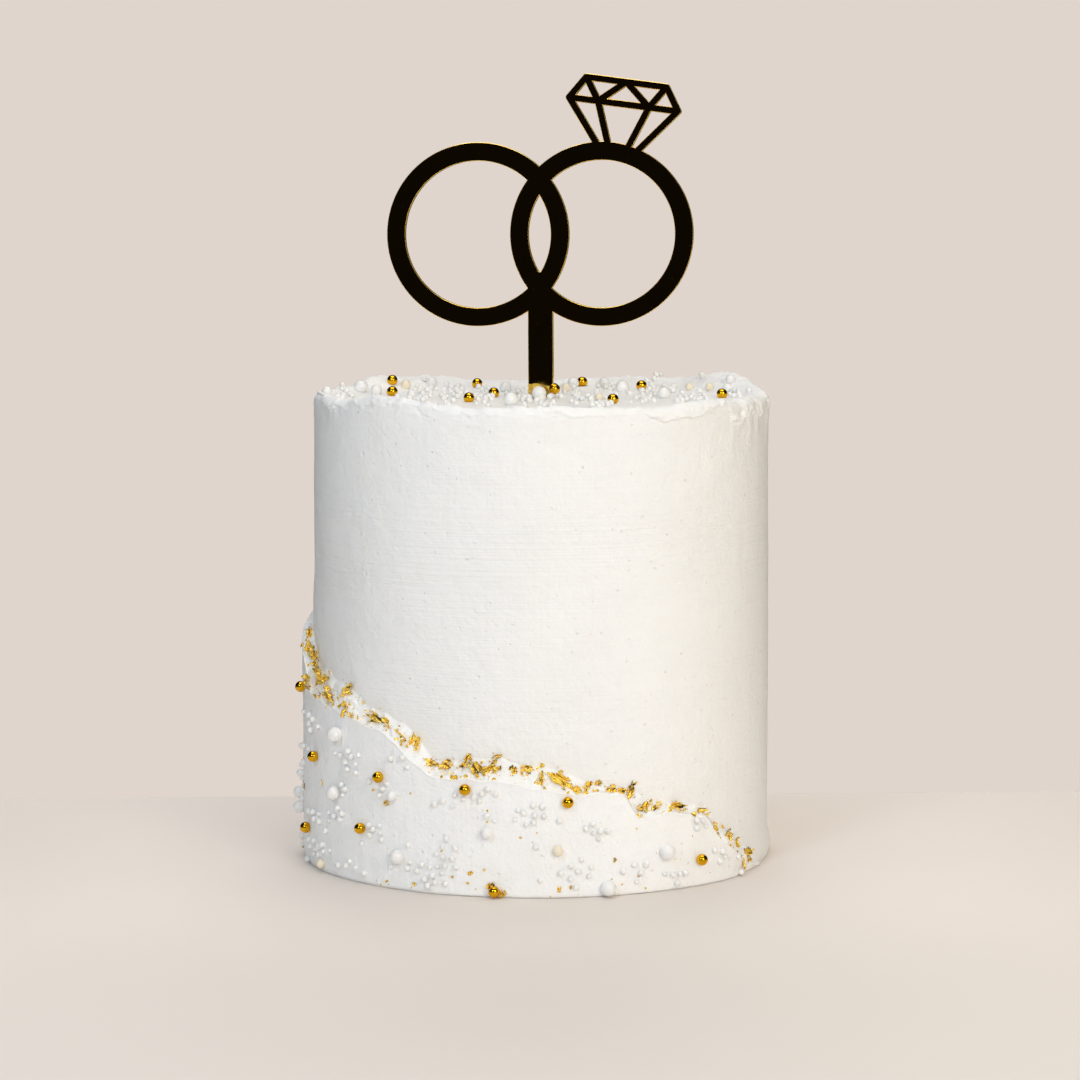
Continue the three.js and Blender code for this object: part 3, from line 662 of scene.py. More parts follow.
def cake_profile(azimuth):
    """Radius and height of the cake's surface at a row of azimuths, from the floor up the side and
    over the rim to near the middle. The levels are close together at the foot and at the rim."""
    foot = np.array([0, 0.3, 0.8, 1.6, 2.6, 4, 6, 8.5])
    wall = np.linspace(12, 152, 27)
    drops = np.concatenate([np.linspace(13.5, 7.5, 12), np.linspace(7.2, 0.12, 27)])
    inward = np.concatenate([np.linspace(0, 1.3, 5), np.linspace(1.8, 17, 30)])
    far = np.linspace(60, 1.5, 20)

    crest = crest_height(azimuth)
    around = polar(azimuth, CREST_RADIUS, 0).T
    ragged = 0.35 * noise(*around, 5, 3.3) + 0.5 * ease(noise(*around, 2.6, 7.1) * 2) - 0.25
    crest = (crest + ragged)[:, None]
    azimuth = azimuth[:, None]

    heights = np.concatenate([
        np.broadcast_to(foot, (len(crest), len(foot))),
        np.broadcast_to(wall, (len(crest), len(wall))),
        crest - drops,
    ], axis=1)
    drop = crest - heights
    round_over = (CAKE_RADIUS - CREST_RADIUS) * np.exp(-drop / 1.1)
    x, y, z = axes(azimuth, CAKE_RADIUS, heights)
    uneven = 0.16 * noise(x, y, z, 26, 1.7) + 0.08 * noise(x, y, z * 2, 11, 5.1)
    pressed = 0.7 * bump(azimuth, -88, 22) * ease((heights - 92) / 14)
    pressed = pressed + 0.5 * bump(azimuth, -88, 14) * ease((heights - 135) / 20)
    radii = side_radius(azimuth, heights) - round_over + uneven - pressed
    radii = radii + rim_smears(azimuth, drop, x, y, z) + rim_flaps(azimuth, drop)

    across = np.concatenate([CREST_RADIUS - inward, far])
    across = np.broadcast_to(across, (len(crest), len(across)))
    x, y, _ = axes(azimuth, across, 0)
    rise = ease((across - (CREST_RADIUS - slope_width(azimuth))) / slope_width(azimuth))
    slope = 4 * rise * (1 - rise)
    strokes = 0.25 * noise(x * 0.7, y * 3, 0, 14, 6.6) + 0.14 * noise(x * 0.6, y * 4, 0, 5, 4.2)
    streaks = 0.4 * ease(noise(across * 2.2, azimuth * 0.4, 0, 4, 9.9) * 3)
    fine = 0.16 * noise(x, y, 0, 2.2, 3.8)
    top = top_height(x, y) + ragged[:, None] * rise**3 + strokes * (1 - rise) + slope * (streaks + fine)
    return np.concatenate([radii, across], axis=1), np.concatenate([heights, top], axis=1)


def put_cake(material):
    """The cake as level loops round the axis, closed by a point below and a point on top."""
    azimuth = np.arange(CAKE_COLUMNS) * 360 / CAKE_COLUMNS
    radii, heights = cake_profile(azimuth)
    loops = np.moveaxis(polar(azimuth[:, None], radii, heights), 1, 0)
    ends = [[0, 0, 0], [0, 0, heights[:, -1].mean()]]
    points, faces = capped_tube(loops, ends, outward=True)
    put_piece("cake_cream", points, faces, material, "buttercream", "cake", torn=np.zeros(len(points)))


# ---- the second coat ----


def coat_section(azimuth):
    """Radius, height and share of tornness round the coat's section at a row of azimuths: up the
    inside, down the torn face and down the outside to the foot. The face is lumpy, its lower edge
    stands up in a small round lip, and its upper edge runs out thin."""
    azimuth = azimuth[:, None]
    low, high = coat_crest(azimuth), coat_feather(azimuth)
    inside = COAT_FOOT + (high - 0.2 - COAT_FOOT) * np.linspace(0, 1, 6)
    inside_radius = side_radius(azimuth, inside) - 0.25

    share = np.linspace(1, 0, 34)
    face_radius, face_height = torn_face(azimuth, share)
    x, y, z = axes(azimuth, face_radius, face_height)
    window = np.sin(np.pi * np.clip(share, 0.02, 0.98)) ** 0.5
    lumps = 0.6 * noise(x, y, z, 6, 2.2) + 0.6 * ease(noise(x, y, z, 3, 4.8) * 2) - 0.1
    lumps = lumps + 0.5 * np.abs(noise(x, y, z, 1.6, 7.7))
    size = np.clip((high - low) / 6, 0.25, 1)
    face_radius = face_radius + window * lumps * size - 0.45 * share**4
    face_height = face_height + 0.5 * window * lumps * size

    rounding = np.linspace(0, 1, 10)[1:]
    lip_height = low - 1.6 * rounding**1.5
    lip_radius = coat_radius(azimuth, lip_height) - 0.3 * (1 - rounding) ** 2
    lip_radius = lip_radius + 0.35 * bell((rounding - 0.4) / 0.3)

    down = np.linspace(0, 1, 44)[1:]
    outside = (low - 1.6) + (COAT_FOOT - (low - 1.6)) * down
    outside_radius = coat_radius(azimuth, outside)
    foot_round = 0.4 * np.exp(-np.maximum(outside - COAT_FOOT, 0) / 0.4)
    x, y, z = axes(azimuth, outside_radius, outside)
    uneven = 0.22 * noise(x, y, z, 17, 3.1) + 0.1 * noise(x, y, z, 6, 6.3)
    outside_radius = outside_radius + uneven * ease(down * 8) - foot_round

    parts = [
        (inside_radius, inside, np.zeros_like(inside)),
        (face_radius, face_height, np.broadcast_to(window, face_radius.shape)),
        (lip_radius, lip_height, 0.3 * (1 - rounding) + 0 * lip_height),
        (outside_radius, outside, np.zeros_like(outside)),
    ]
    return [np.concatenate(column, axis=1) for column in zip(*parts)]


def put_coat(material):
    """The coat as a closed loop of section points carried round the cake, with a cap at each end."""
    azimuth = np.linspace(COAT_START, COAT_END, COAT_COLUMNS)
    radii, heights, torn = coat_section(azimuth)
    loops = polar(azimuth[:, None], radii, np.maximum(heights, COAT_FOOT))
    caps = [loops[0].mean(axis=0), loops[-1].mean(axis=0)]
    points, faces = capped_tube(loops, caps, outward=False)
    torn = np.concatenate([torn.ravel(), [0, 0]])
    put_piece("wave_cream", points, faces, material, "second_coat", "second_coat", torn=torn)


# ---- pearls and balls ----


def group(row, seed):
    """Small pearls spread evenly over an oval by the golden angle, each shifted a little. Every third
    is a tiny one."""
    across, along, half_width, half_height, count = row
    k = np.arange(count)
    reach = np.sqrt((k + 0.5) / count)
    turn = GOLDEN_ANGLE * k + 2 * np.pi * draw(seed)
    u = half_width * reach * np.cos(turn) + 0.8 * (draw(seed + k + 0.3) - 0.5)
    v = half_height * reach * np.sin(turn) + 0.8 * (draw(seed + k + 0.7) - 0.5)
    return across, along, u, v, np.where(k % 3 == 2, TINY_PEARL, SMALL_PEARL)


def top_balls(x, y, diameter):
    """Centres and diameters of balls pressed into the top."""
    x, y, diameter = evened(x, y, diameter)
    return np.stack([x, y, top_height(x, y) + (0.5 - SUNK) * diameter, diameter], axis=-1)


def side_balls(azimuth, z, diameter):
    """Centres and diameters of balls pressed into the coat's outside."""
    azimuth, z, diameter = evened(azimuth, z, diameter)
    height = np.maximum(z, 0.4 + diameter / 2)
    radius = coat_radius(azimuth, height) + (0.5 - SUNK) * diameter
    return np.concatenate([polar(azimuth, radius, height), diameter[..., None]], axis=-1)


def spaced(balls, kinds):
    """Keeps the balls that stand clear of all that were kept before them."""
    kept = []
    for i, ball in enumerate(balls):
        others = balls[kept]
        apart = np.linalg.norm(others[:, :3] - ball[:3], axis=1)
        if (apart > (others[:, 3] + ball[3]) / 2 + BALL_SPACING).all():
            kept.append(i)
    return balls[kept], kinds[kept]


def clear_of_stake(balls):
    """Which balls stand clear of the topper's stake."""
    out_x = np.abs(balls[:, 0] - STAKE_MIDDLE) - STAKE_WIDTH / 2
    out_y = np.abs(balls[:, 1]) - PLATE_THICKNESS / 2
    return np.maximum(out_x, out_y) > balls[:, 3] / 2 + STAKE_CLEARANCE


GOLD, WHITE, IVORY, SMALL = range(4)


def labelled(*sets):
    """Balls of several kinds in one array, and the kind of each."""
    balls = np.concatenate([balls for balls, _ in sets])
    return balls, np.concatenate([kinds + np.zeros(len(balls), int) for balls, kinds in sets])


# A gold ball that rests on a nest of small pearls before the stake: x, y, and how much it is lifted.
NESTED_GOLD = (5.6, -4.6, 1.7)
NEST = [
    (4.4, -5.6), (6.8, -5.6), (5.6, -3.4), (3.9, -8.6), (-4.2, -4.6), (-3.6, -9), (-5.4, -6.8), (8, -8),
    (1.4, -11),
]


def all_top_balls():
    """Every ball on the top: gold, large white, ivory, the nest and the groups of small pearls, and
    the pearls scattered over the whole of it."""
    wider = [
        (x, y, WIDER_GROUP * width, WIDER_GROUP * depth, int(THINNER_GROUP * count))
        for x, y, width, depth, count in TOP_GROUPS
    ]
    groups = [group(row, 17 * i + 5) for i, row in enumerate([*TOP_GROUPS, *wider])]
    groups.append(group((*TOP_OVAL, SCATTERED_ON_TOP), 3))
    small = [top_balls(across + u, along + v, diameter) for across, along, u, v, diameter in groups]
    balls, kinds = spaced(*labelled(
        (top_balls(*np.array(TOP_GOLD).T, GOLD_BALL), GOLD),
        (top_balls(*np.array(TOP_PEARLS).T), WHITE),
        (top_balls(*np.array(TOP_IVORY).T), IVORY),
        (top_balls(*np.array(NEST).T, SMALL_PEARL), SMALL),
        (np.concatenate(small), SMALL),
    ))
    clear = clear_of_stake(balls)
    x, y, lift = NESTED_GOLD
    nested = top_balls([x], [y], GOLD_BALL) + np.array([0, 0, lift, 0])
    return labelled((balls[clear], kinds[clear]), (nested, [GOLD]))


def back_stations():
    """Stations round the back: azimuth, and a low and a high share of the coat's height."""
    k = np.arange(BACK_COUNT)
    return BACK_FIRST + BACK_STEP * k, 0.12 + 0.36 * draw(k + 61), 0.52 + 0.34 * draw(k + 83)


def all_side_balls():
    """Every ball on the coat: those seen from the front, and the stations round the back."""
    azimuth, low, high = back_stations()
    k = np.arange(BACK_COUNT)
    height = keyed(COAT_CREST, azimuth)
    back_rows = [
        row for a, h, up, down in zip(azimuth, height, high, low)
        for row in ((a - 5, up * h, 9, 8, 9), (a + 4, down * h, 9, 7, 11))
    ]
    per_degree = np.radians(CAKE_RADIUS)
    groups = [group(row, 23 * i + 911) for i, row in enumerate([*SIDE_GROUPS, *back_rows])]
    small = [
        side_balls(across + u / per_degree, along + v, diameter)
        for across, along, u, v, diameter in groups
    ]
    back_pearls = side_balls(azimuth - 6 + 6 * draw(k + 7), high * height, 3.6 + 1.8 * draw(k + 29))
    n = np.arange(SCATTERED_ON_COAT)
    anywhere = SCATTER_START + SCATTER_SPAN * (n + draw(n + 0.5)) / SCATTERED_ON_COAT
    small.append(side_balls(
        anywhere, 0.92 * keyed(COAT_CREST, anywhere) * draw(n + 0.9) ** 1.2,
        np.where(n % 2 == 0, TINY_PEARL, SMALL_PEARL),
    ))
    return spaced(*labelled(
        (side_balls(*np.array(SIDE_GOLD).T, GOLD_BALL), GOLD),
        (side_balls(azimuth, low * height, GOLD_BALL), GOLD),
        (side_balls(*np.array(SIDE_PEARLS).T), WHITE),
        (side_balls(*np.array(SIDE_IVORY).T), IVORY),
        (back_pearls, WHITE),
        (np.concatenate(small), SMALL),
    ))


def put_balls(name, balls, detail, material, slot):
    """Balls as one mesh, each a little out of round by its own draw."""
    corners, faces = ball_shape(detail)
    squash = 1 + 0.05 * (draw(balls[:, :1] * 7 + np.array([[1.0, 2.0, 3.0]])) - 0.5)
    points = balls[:, None, :3] + corners[None] * (balls[:, 3] / 2)[:, None, None] * squash[:, None]
    put_piece(name, points, repeated(corners, faces, len(balls)).tolist(), material, slot)


# ---- gold leaf ----

# Pieces of leaf on the front of the torn edge: azimuth, share of the torn face, size along and across
# the creases, and the turn of the creases from level, in degrees.
LEAF_PIECES = [
    (-84, 0.75, 5.6, 3.4, 70), (-80, 0.5, 6.7, 4.2, 60), (-76.5, 0.8, 9, 6, 40),
    (-73, 0.9, 12.3, 5.1, -35), (-69.5, 0.7, 9, 5.1, 60), (-73.5, 0.1, 6, 11, 80),
    (-65.6, 0.7, 7.8, 4.2, 20), (-60.8, 0.4, 10.1, 4.7, -30), (-54, 0.9, 7.8, 5.1, 40),
    (-52.6, 0.2, 7, 4, 80), (-49.7, 0.1, 4, 3, 0), (-42.6, 0.6, 10, 5, -15), (-39.5, 0.7, 7.8, 3.4, -30),
    (-34.5, 0.5, 9, 5.1, -30), (-31, 0.9, 7.8, 4.2, 70), (-27, 0.8, 6, 4, 0), (-22.5, 0.8, 6, 4, 10),
    (-20, 0.1, 5, 2, 0), (-17.4, 0.7, 6.7, 4.2, 60), (-14.8, 0.5, 9, 5.1, -50),
    (-11.9, 0.5, 7.8, 5.1, 20), (-10.4, 0.95, 6.5, 2.2, 45), (-6.6, 0.7, 5, 4, 80),
    (-3.6, 0.9, 9, 3.7, 20), (-0.4, 0.5, 7, 3.4, 75), (4.9, 0.62, 12.5, 5.4, -37),
    (8.2, 0.35, 4, 3, -60), (10.7, 0.7, 5.6, 3.4, 70), (13.6, 1, 3, 2, 0), (16.2, 0.7, 5.2, 2.9, 20),
    (18.8, 0.8, 4, 3, -10), (21.4, 0.95, 7.8, 4.2, 60), (23.4, 0.45, 3.4, 3.4, 0),
    (24.8, 0.6, 5.6, 2.9, 60), (27.5, 0.7, 6, 3.4, 20), (33.5, 0.8, 8, 3.6, 0),
    (41.3, 0.5, 6.4, 3.6, -15), (45.9, 0.8, 4.9, 3.1, 70), (50.7, 0.65, 5.6, 3.7, 50),
    (54.6, 0.7, 7, 3, 80), (55.7, -0.3, 7, 1.6, 88), (60.6, 0.7, 9, 3.8, -10),
]
LEAF_STEPS = 30
LEAF_LEAN = 0.35
LEAF_THICKNESS = 0.1
BACK_LEAVES = 31
BACK_LEAF_START = -107
BACK_LEAF_SPAN = -136

# Specks of leaf below the edge: azimuth, height, size along and across the creases, which are nearly
# upright.
SPECKS = [
    (-16.4, 8.4, 1.8, 2.2), (-17.1, 4.8, 1, 1.3), (-13.1, 9.7, 1, 1.1), (-11.7, 4.2, 4.2, 3.4),
    (-9, 1.6, 3.2, 3), (3.8, 3.3, 5.2, 1.4), (-4.8, 21.2, 0.8, 1.6), (6.4, 3.9, 1.6, 1.2),
    (16.6, 12.6, 1.9, 1.4), (22.4, 6.3, 0.9, 1.4), (-38.1, 30.1, 2.4, 2.8), (-63.2, 32, 3, 1),
    (-42.1, 34, 1.2, 1.4), (-28.2, 9.9, 1.6, 1.5), (-20.9, 6.6, 1, 1.5), (-38.4, 2.6, 1, 1.6),
    (-30.4, 2.9, 1.6, 1.8), (-85.9, 3, 2, 1.4), (-79, 27, 2.6, 1.6), (-81, 36, 2.4, 1.2),
]
SPECK_TURN = 80
CRUMBS_ON_EDGE = 420
CRUMBS_BELOW = 60


def coat_frames(azimuth):
    """Directions round the cake, up, and straight out, at each azimuth."""
    out = polar(azimuth, 1, 0 * azimuth)
    up = np.broadcast_to([0.0, 0.0, 1.0], out.shape)
    return np.cross(up, out), up, out


def leaf_frames(azimuth, share, low_azimuth, low_height):
    """Where leaf lies: centres, and the directions across, along and out of the surface at each, first
    on the torn face and then on the coat below it. On the torn face the leaf leans back by a share of
    the icing's own lean."""
    radius, height = torn_face(azimuth, share)
    low_radius, low = torn_face(azimuth, 0 * share)
    high_radius, high = torn_face(azimuth, 0 * share + 1)
    lean = LEAF_LEAN * np.arctan2(low_radius - high_radius, high - low)[:, None]
    across, up, out = coat_frames(azimuth)
    face = out * np.cos(lean) + up * np.sin(lean)
    on_edge = [polar(azimuth, radius, height), across, np.cross(face, across), face]
    below = [polar(low_azimuth, coat_radius(low_azimuth, low_height), low_height), *coat_frames(low_azimuth)]
    return [np.concatenate(pair) for pair in zip(on_edge, below)]


def laid(frames, u, v, turn, height):
    """Points of flat leaf, turned in its plane, laid on the surface and lifted off it by a height."""
    centre, across, along, face = frames
    cos, sin = np.cos(turn), np.sin(turn)
    point = centre + (u * cos - v * sin)[..., None] * across + (u * sin + v * cos)[..., None] * along
    return point + height[..., None] * face


def curled(u, v, height, size, number, k, start):
    """Leaf whose side curls over, past a start, as an arc of a small circle. Which side, and how small
    the circle is, are draws of the piece's number."""
    bend = 2 * np.pi * draw(number + k)
    outward = u * np.cos(bend) + v * np.sin(bend)
    small = size * (0.1 + 0.1 * draw(number + k + 0.4))
    past = np.maximum(outward - start * size, 0)
    arc = np.minimum(past / small, 4.2)
    shift = small * np.sin(arc) - past
    return u + shift * np.cos(bend), v + shift * np.sin(bend), height + small * (1 - np.cos(arc))


def put_leaf(material):
    """Leaf pieces as one mesh. Each is a square grid from which a ragged outline and holes are cut.
    It is folded in sharp creases, the absolute value of noise that is longest along the creases. Two
    of its sides curl over, and it is turned and laid on the icing. Painted shade in its creases and along
    parts of its outline is kept on its points for the material."""
    k = np.arange(BACK_LEAVES)
    behind = np.stack([
        BACK_LEAF_START + BACK_LEAF_SPAN * (k + draw(k + 3)) / BACK_LEAVES, 0.2 + 0.8 * draw(k + 17),
        4 + 6 * draw(k + 23), 3.4 + 4 * draw(k + 41), 180 * draw(k + 53) - 90,
    ], axis=-1)
    edge = np.concatenate([np.array(LEAF_PIECES, float), behind])
    speck = np.array(SPECKS, float)
    frames = [v[:, None, None] for v in leaf_frames(edge[:, 0], edge[:, 1], speck[:, 0], speck[:, 1])]
    long, short = 1.12 * np.concatenate([edge[:, 2:4], speck[:, 2:4]]).T[:, :, None, None]
    count = len(long)
    number = np.arange(count)[:, None, None]
    turned = np.radians(np.concatenate([edge[:, 4], SPECK_TURN + 0 * speck[:, 0]]))[:, None, None]

    line = np.linspace(-1, 1, LEAF_STEPS)
    p, q = (grid[None] + 0 * number for grid in np.meshgrid(line, line))
    reach, angle = np.hypot(p, q), np.arctan2(q, p)
    ragged = 0.7 + 0.3 * noise(1.9 * np.cos(angle), 1.7 * np.sin(angle), 3.7 * number, 1, 1.1)
    ragged = ragged + 0.5 * np.clip(noise(6 * np.cos(angle), 6 * np.sin(angle), 5.3 * number, 1, 2.6), 0, 1)
    holes = noise(2.6 * p, 3.6 * q, 7.9 * number, 1, 4.4) + 0.5 * noise(6 * p, 8 * q, 4.3 * number, 1, 6.4)
    solid = (reach < ragged) & (holes < 0.56)

    size = np.minimum(long, short)
    long_fold = np.abs(noise(1.4 * p, 3.4 * q, 9.1 * number, 1, 3.4))
    short_fold = np.abs(noise(2.6 * p, 7 * q, 6.7 * number, 1, 8.8))
    height = size * (0.42 * long_fold + 0.16 * short_fold)
    crossed = draw(number + 0.7) > 0.5
    # Painted shade: dark brown in the creases, where the folds sink lowest, and along parts of the outline.
    crease = np.clip(1.35 - 8 * long_fold, 0, 1) + 0.9 * np.clip(1.1 - 8 * short_fold, 0, 1) * crossed
    outline = np.clip(1 - (ragged - reach) / 0.1, 0, 1) * (noise(3 * p, 3 * q, 2.3 * number, 1, 9.7) > -0.1)
    crease = np.maximum(crease, 0.75 * outline)

    u, v = p * long / 2, q * short / 2
    for k, start in ((3, 0.3), (7, 0.42)):
        u, v, height = curled(u, v, height, size, number, k, start)
    point = laid(frames, u, v, turned, height + 0.12)

    corners = grid_faces(LEAF_STEPS, LEAF_STEPS)
    faces = repeated(np.zeros((LEAF_STEPS**2, 3)), corners, count)
    faces = faces[solid.ravel()[faces].all(axis=1)]
    used, faces = np.unique(faces, return_inverse=True)
    piece = put_piece(
        "gold_leaf", point.reshape(-1, 3)[used], faces.reshape(-1, 4).tolist(), material, "gold_leaf",
        crease=np.clip(crease, 0, 1).ravel()[used],
    )
    thickness = piece.modifiers.new("thickness", "SOLIDIFY")
    thickness.thickness = LEAF_THICKNESS * MM
    thickness.offset = 0


def put_crumbs(material):
    """Crumbs of leaf as one mesh: small crumpled flakes of seven corners, thick along the torn edge and
    thin over the lower front. Some corners of each are given dark brown painted shade at random."""
    k = np.arange(CRUMBS_ON_EDGE)
    azimuth = np.where(draw(k) < 0.66, -84 + 146 * draw(k + 0.2) ** 1.25, -92 - 150 * draw(k + 0.4))
    j = np.arange(CRUMBS_BELOW)
    low_azimuth = -50 + 100 * draw(j + 0.1)
    low_height = 0.8 + 0.8 * keyed(COAT_CREST, low_azimuth) * draw(j + 0.8) ** 1.6
    frames = [v[:, None] for v in leaf_frames(azimuth, -0.12 + 1.2 * draw(k + 0.6), low_azimuth, low_height)]
    centre, face = frames[0], frames[3]
    size = np.concatenate([0.45 + 1.5 * draw(k + 0.9) ** 2.2, 0.3 + 0.7 * draw(j + 0.35) ** 3])[:, None]

    count = len(size)
    number = np.arange(count)[:, None]
    spokes = np.arange(7)[None]
    turn = 2 * np.pi * (spokes / 7 + draw(number))
    slim = 0.35 + 0.65 * draw(number + 0.15)
    u = size * (0.3 + 0.5 * draw(number * 7 + spokes)) * np.cos(turn)
    v = size * (0.3 + 0.5 * draw(number * 9 + spokes)) * np.sin(turn) * slim
    lean = np.pi * draw(number + 0.65)
    rim = laid(frames, u, v, lean, size * 0.5 * draw(number * 11 + spokes) + 0.1)
    top = centre + (0.35 * size + 0.1)[..., None] * face
    bottom = centre - 0.1 * face
    points = np.concatenate([rim, top, bottom], axis=1)
    corners = np.concatenate([fan_faces(7, 0, 7, outward=True), fan_faces(8, 0, 7, outward=False)])
    # Painted shade: some corners of each crumb are dark brown at random.
    put_piece(
        "leaf_crumbs", points, repeated(np.zeros((9, 3)), corners, count).tolist(), material, "gold_leaf",
        smooth=False, crease=np.clip(3 * draw(number * 5 + np.arange(9)) - 2.2, 0, 1),
    )


# ---- the topper ----


def plate_place():
    """The plate's own frame set into the cake's, in millimetres."""
    place = Matrix.Translation((0, 0, PLATEAU_HEIGHT))
    place = place @ Matrix.Rotation(np.radians(PLATE_YAW), 4, "Z")
    return place @ Matrix.Rotation(np.radians(PLATE_LEAN), 4, "X")


def capsule(start, end, width, steps=9):
    """Outline of a straight stroke with round ends, and the inward direction at each of its points."""
    start, end = np.array(start, float), np.array(end, float)
    heading = np.arctan2(*(end - start)[::-1])
    half_turn = np.linspace(-np.pi / 2, np.pi / 2, steps)
    turns = np.concatenate([heading + half_turn, heading + np.pi + half_turn])
    ends = np.repeat([end, start], steps, axis=0)
    outward = np.column_stack([np.cos(turns), np.sin(turns)])
    return ends + width / 2 * outward, -outward


def bar(middle, low, high, width):
    """Outline of an upright bar, and the inward direction at each corner."""
    sides = np.array([[-1, -1], [1, -1], [1, 1], [-1, 1]], float)
    centre = np.array([middle, (low + high) / 2])
    return centre + sides * [width / 2, (high - low) / 2], -sides


def slab(name, outline, inward):
    """A flat closed slab in the plate's frame: an outline carried through the sheet's thickness, with
    both of its edges cut off at a slant, for which each corner moves inward."""
    half, count = PLATE_THICKNESS / 2, len(outline)
    layers = [(half, CHAMFER), (half - CHAMFER, 0), (CHAMFER - half, 0), (-half, CHAMFER)]
    points = [np.insert(outline + inset * inward, 1, -depth, axis=1) for depth, inset in layers]
    return mesh_object(name, points, [
        *grid_faces(4, count, closed=True)[:, ::-1].tolist(),
        list(range(count)),
        list(range(4 * count - 1, 3 * count - 1, -1)),
    ])


def ring(name, middle):
    """A ring in the plate's frame: a chamfered section of eight corners carried round a circle."""
    half = PLATE_THICKNESS / 2
    corner = half - CHAMFER
    inside, outside = RING_INNER + CHAMFER, RING_OUTER - CHAMFER
    section = np.array([
        (RING_INNER, -corner), (inside, -half), (outside, -half), (RING_OUTER, -corner),
        (RING_OUTER, corner), (outside, half), (inside, half), (RING_INNER, corner),
    ])
    turn = np.linspace(0, 2 * np.pi, RING_STEPS, endpoint=False)[:, None]
    radius, depth = section.T
    points = np.stack([
        middle + radius * np.cos(turn), depth + 0 * turn, RING_HEIGHT + radius * np.sin(turn),
    ], axis=-1)
    faces = grid_faces(RING_STEPS + 1, len(section), closed=True) % (RING_STEPS * len(section))
    return mesh_object(name, points, faces.tolist())


def gem_strokes():
    """End points of the diamond's strokes: its outline, its girdle, the zigzag above the girdle and
    the four lines that meet at its point."""
    half = GEM_STROKE / 2
    cos, sin = np.cos(np.radians(GEM_TILT)), np.sin(np.radians(GEM_TILT))

    def at(along, up):
        """A point along the tilted girdle and up from it."""
        return GEM_CORNER[0] + along * cos - up * sin, GEM_CORNER[1] + along * sin + up * cos

    middle = GEM_WIDTH / 2
    left, right = at(1.7 * half, 0), at(GEM_WIDTH - 1.7 * half, 0)
    top_left = at(GEM_TOP_INSET + half, GEM_CROWN - half)
    top_right = at(GEM_WIDTH - GEM_TOP_INSET - half, GEM_CROWN - half)
    top_middle = at(middle, GEM_CROWN - half)
    facet_left, facet_right = at(middle - GEM_FACET, 0), at(middle + GEM_FACET, 0)
    point = at(middle, half - GEM_PAVILION)
    return [
        (left, top_left), (top_left, top_right), (top_right, right), (left, right),
        (top_left, facet_left), (facet_left, top_middle), (top_middle, facet_right),
        (facet_right, top_right), (left, point), (right, point), (facet_left, point),
        (facet_right, point),
    ]


def joined(base, others, operation):
    """The base object's mesh joined with, or cut by, other closed meshes, which are then removed."""
    for other in others:
        step = base.modifiers.new(operation, "BOOLEAN")
        step.operation = operation
        step.object = other
        step.solver = "EXACT"
        evaluated = base.evaluated_get(bpy.context.evaluated_depsgraph_get())
        mesh = bpy.data.meshes.new_from_object(evaluated)
        base.modifiers.clear()
        base.data = mesh
        bpy.data.objects.remove(other)
    return base


def put_topper(face, edge, back):
    """The topper: rings, strokes and stake joined into one plate and set into the cake. The diamond's
    strokes stop short of the inside of the ring that carries it."""
    strokes = [
        slab(f"stroke_{i}", *capsule(start, end, GEM_STROKE)) for i, (start, end) in enumerate(gem_strokes())
    ]
    gem = joined(strokes[0], strokes[1:], "UNION")
    turn = np.linspace(0, 2 * np.pi, CUTTER_STEPS, endpoint=False)
    round_cut = np.column_stack([np.cos(turn), np.sin(turn)])
    reach = np.array([RING_MIDDLE + RING_OFFSET, RING_HEIGHT]) + (RING_INNER + 2) * round_cut
    cutter = slab("cutter", reach, round_cut)
    cutter.scale[1] = 1.5
    bpy.context.view_layer.update()
    joined(gem, [cutter], "DIFFERENCE")
    plate = joined(ring("left_ring", RING_MIDDLE - RING_OFFSET), [
        ring("right_ring", RING_MIDDLE + RING_OFFSET),
        slab("web", *bar(RING_MIDDLE, WEB_LOW, WEB_HIGH, WEB_WIDTH)),
        slab("stake", *bar(STAKE_MIDDLE, -STAKE_DEPTH, STAKE_TOP, STAKE_WIDTH)),
        gem,
    ], "UNION")
    mesh = plate.data
    mesh.name = plate.name = "ring_topper_mirror"

    normals = np.zeros(len(mesh.polygons) * 3)
    mesh.polygons.foreach_get("normal", normals)
    facing = normals.reshape(-1, 3)[:, 1]
    slots = np.where(facing < -0.98, 0, np.where(facing > 0.98, 2, 1))
    mesh.materials.clear()
    for material in (face, edge, back):
        mesh.materials.append(material)
    mesh.polygons.foreach_set("material_index", slots.astype(np.int32))
    mesh.polygons.foreach_set("use_smooth", np.zeros(len(mesh.polygons), bool))
    mesh.transform(Matrix.Scale(MM, 4) @ plate_place())
    mesh.update()
    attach(plate, "root")
    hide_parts("ring_topper")


# ---- the set ----

BACKDROP_RADIUS = 4
LIT_POINT = (0, 0, 0.1)

# Square area lights: name, place, size, power in watts, colour, and whether glossy surfaces show it.
LIGHTS = [
    ("left_box", (-0.64, -1.29, 0.92), 0.34, 5.7, (0.74, 0.86, 1.0), True),
    ("right_box", (0.63, -1.32, 0.66), 0.62, 8.6, (1.0, 0.93, 0.83), True),
    ("front_fill", (0.0, -1.9, 0.5), 1.2, 8.0, (0.93, 0.97, 1.0), False),
    ("top_fill", (0.0, 0.0, 1.6), 1.2, 12.8, (1.0, 0.97, 0.94), True),
    ("right_fill", (1.5, -0.3, 0.5), 1.0, 4.1, (1.0, 0.93, 0.78), False),
    ("left_fill", (-1.5, -0.3, 0.5), 1.0, 2.7, (0.77, 0.91, 1.0), False),
    ("back_fill", (0.0, 1.5, 0.8), 1.2, 14.5, (1.0, 0.96, 0.92), False),
]


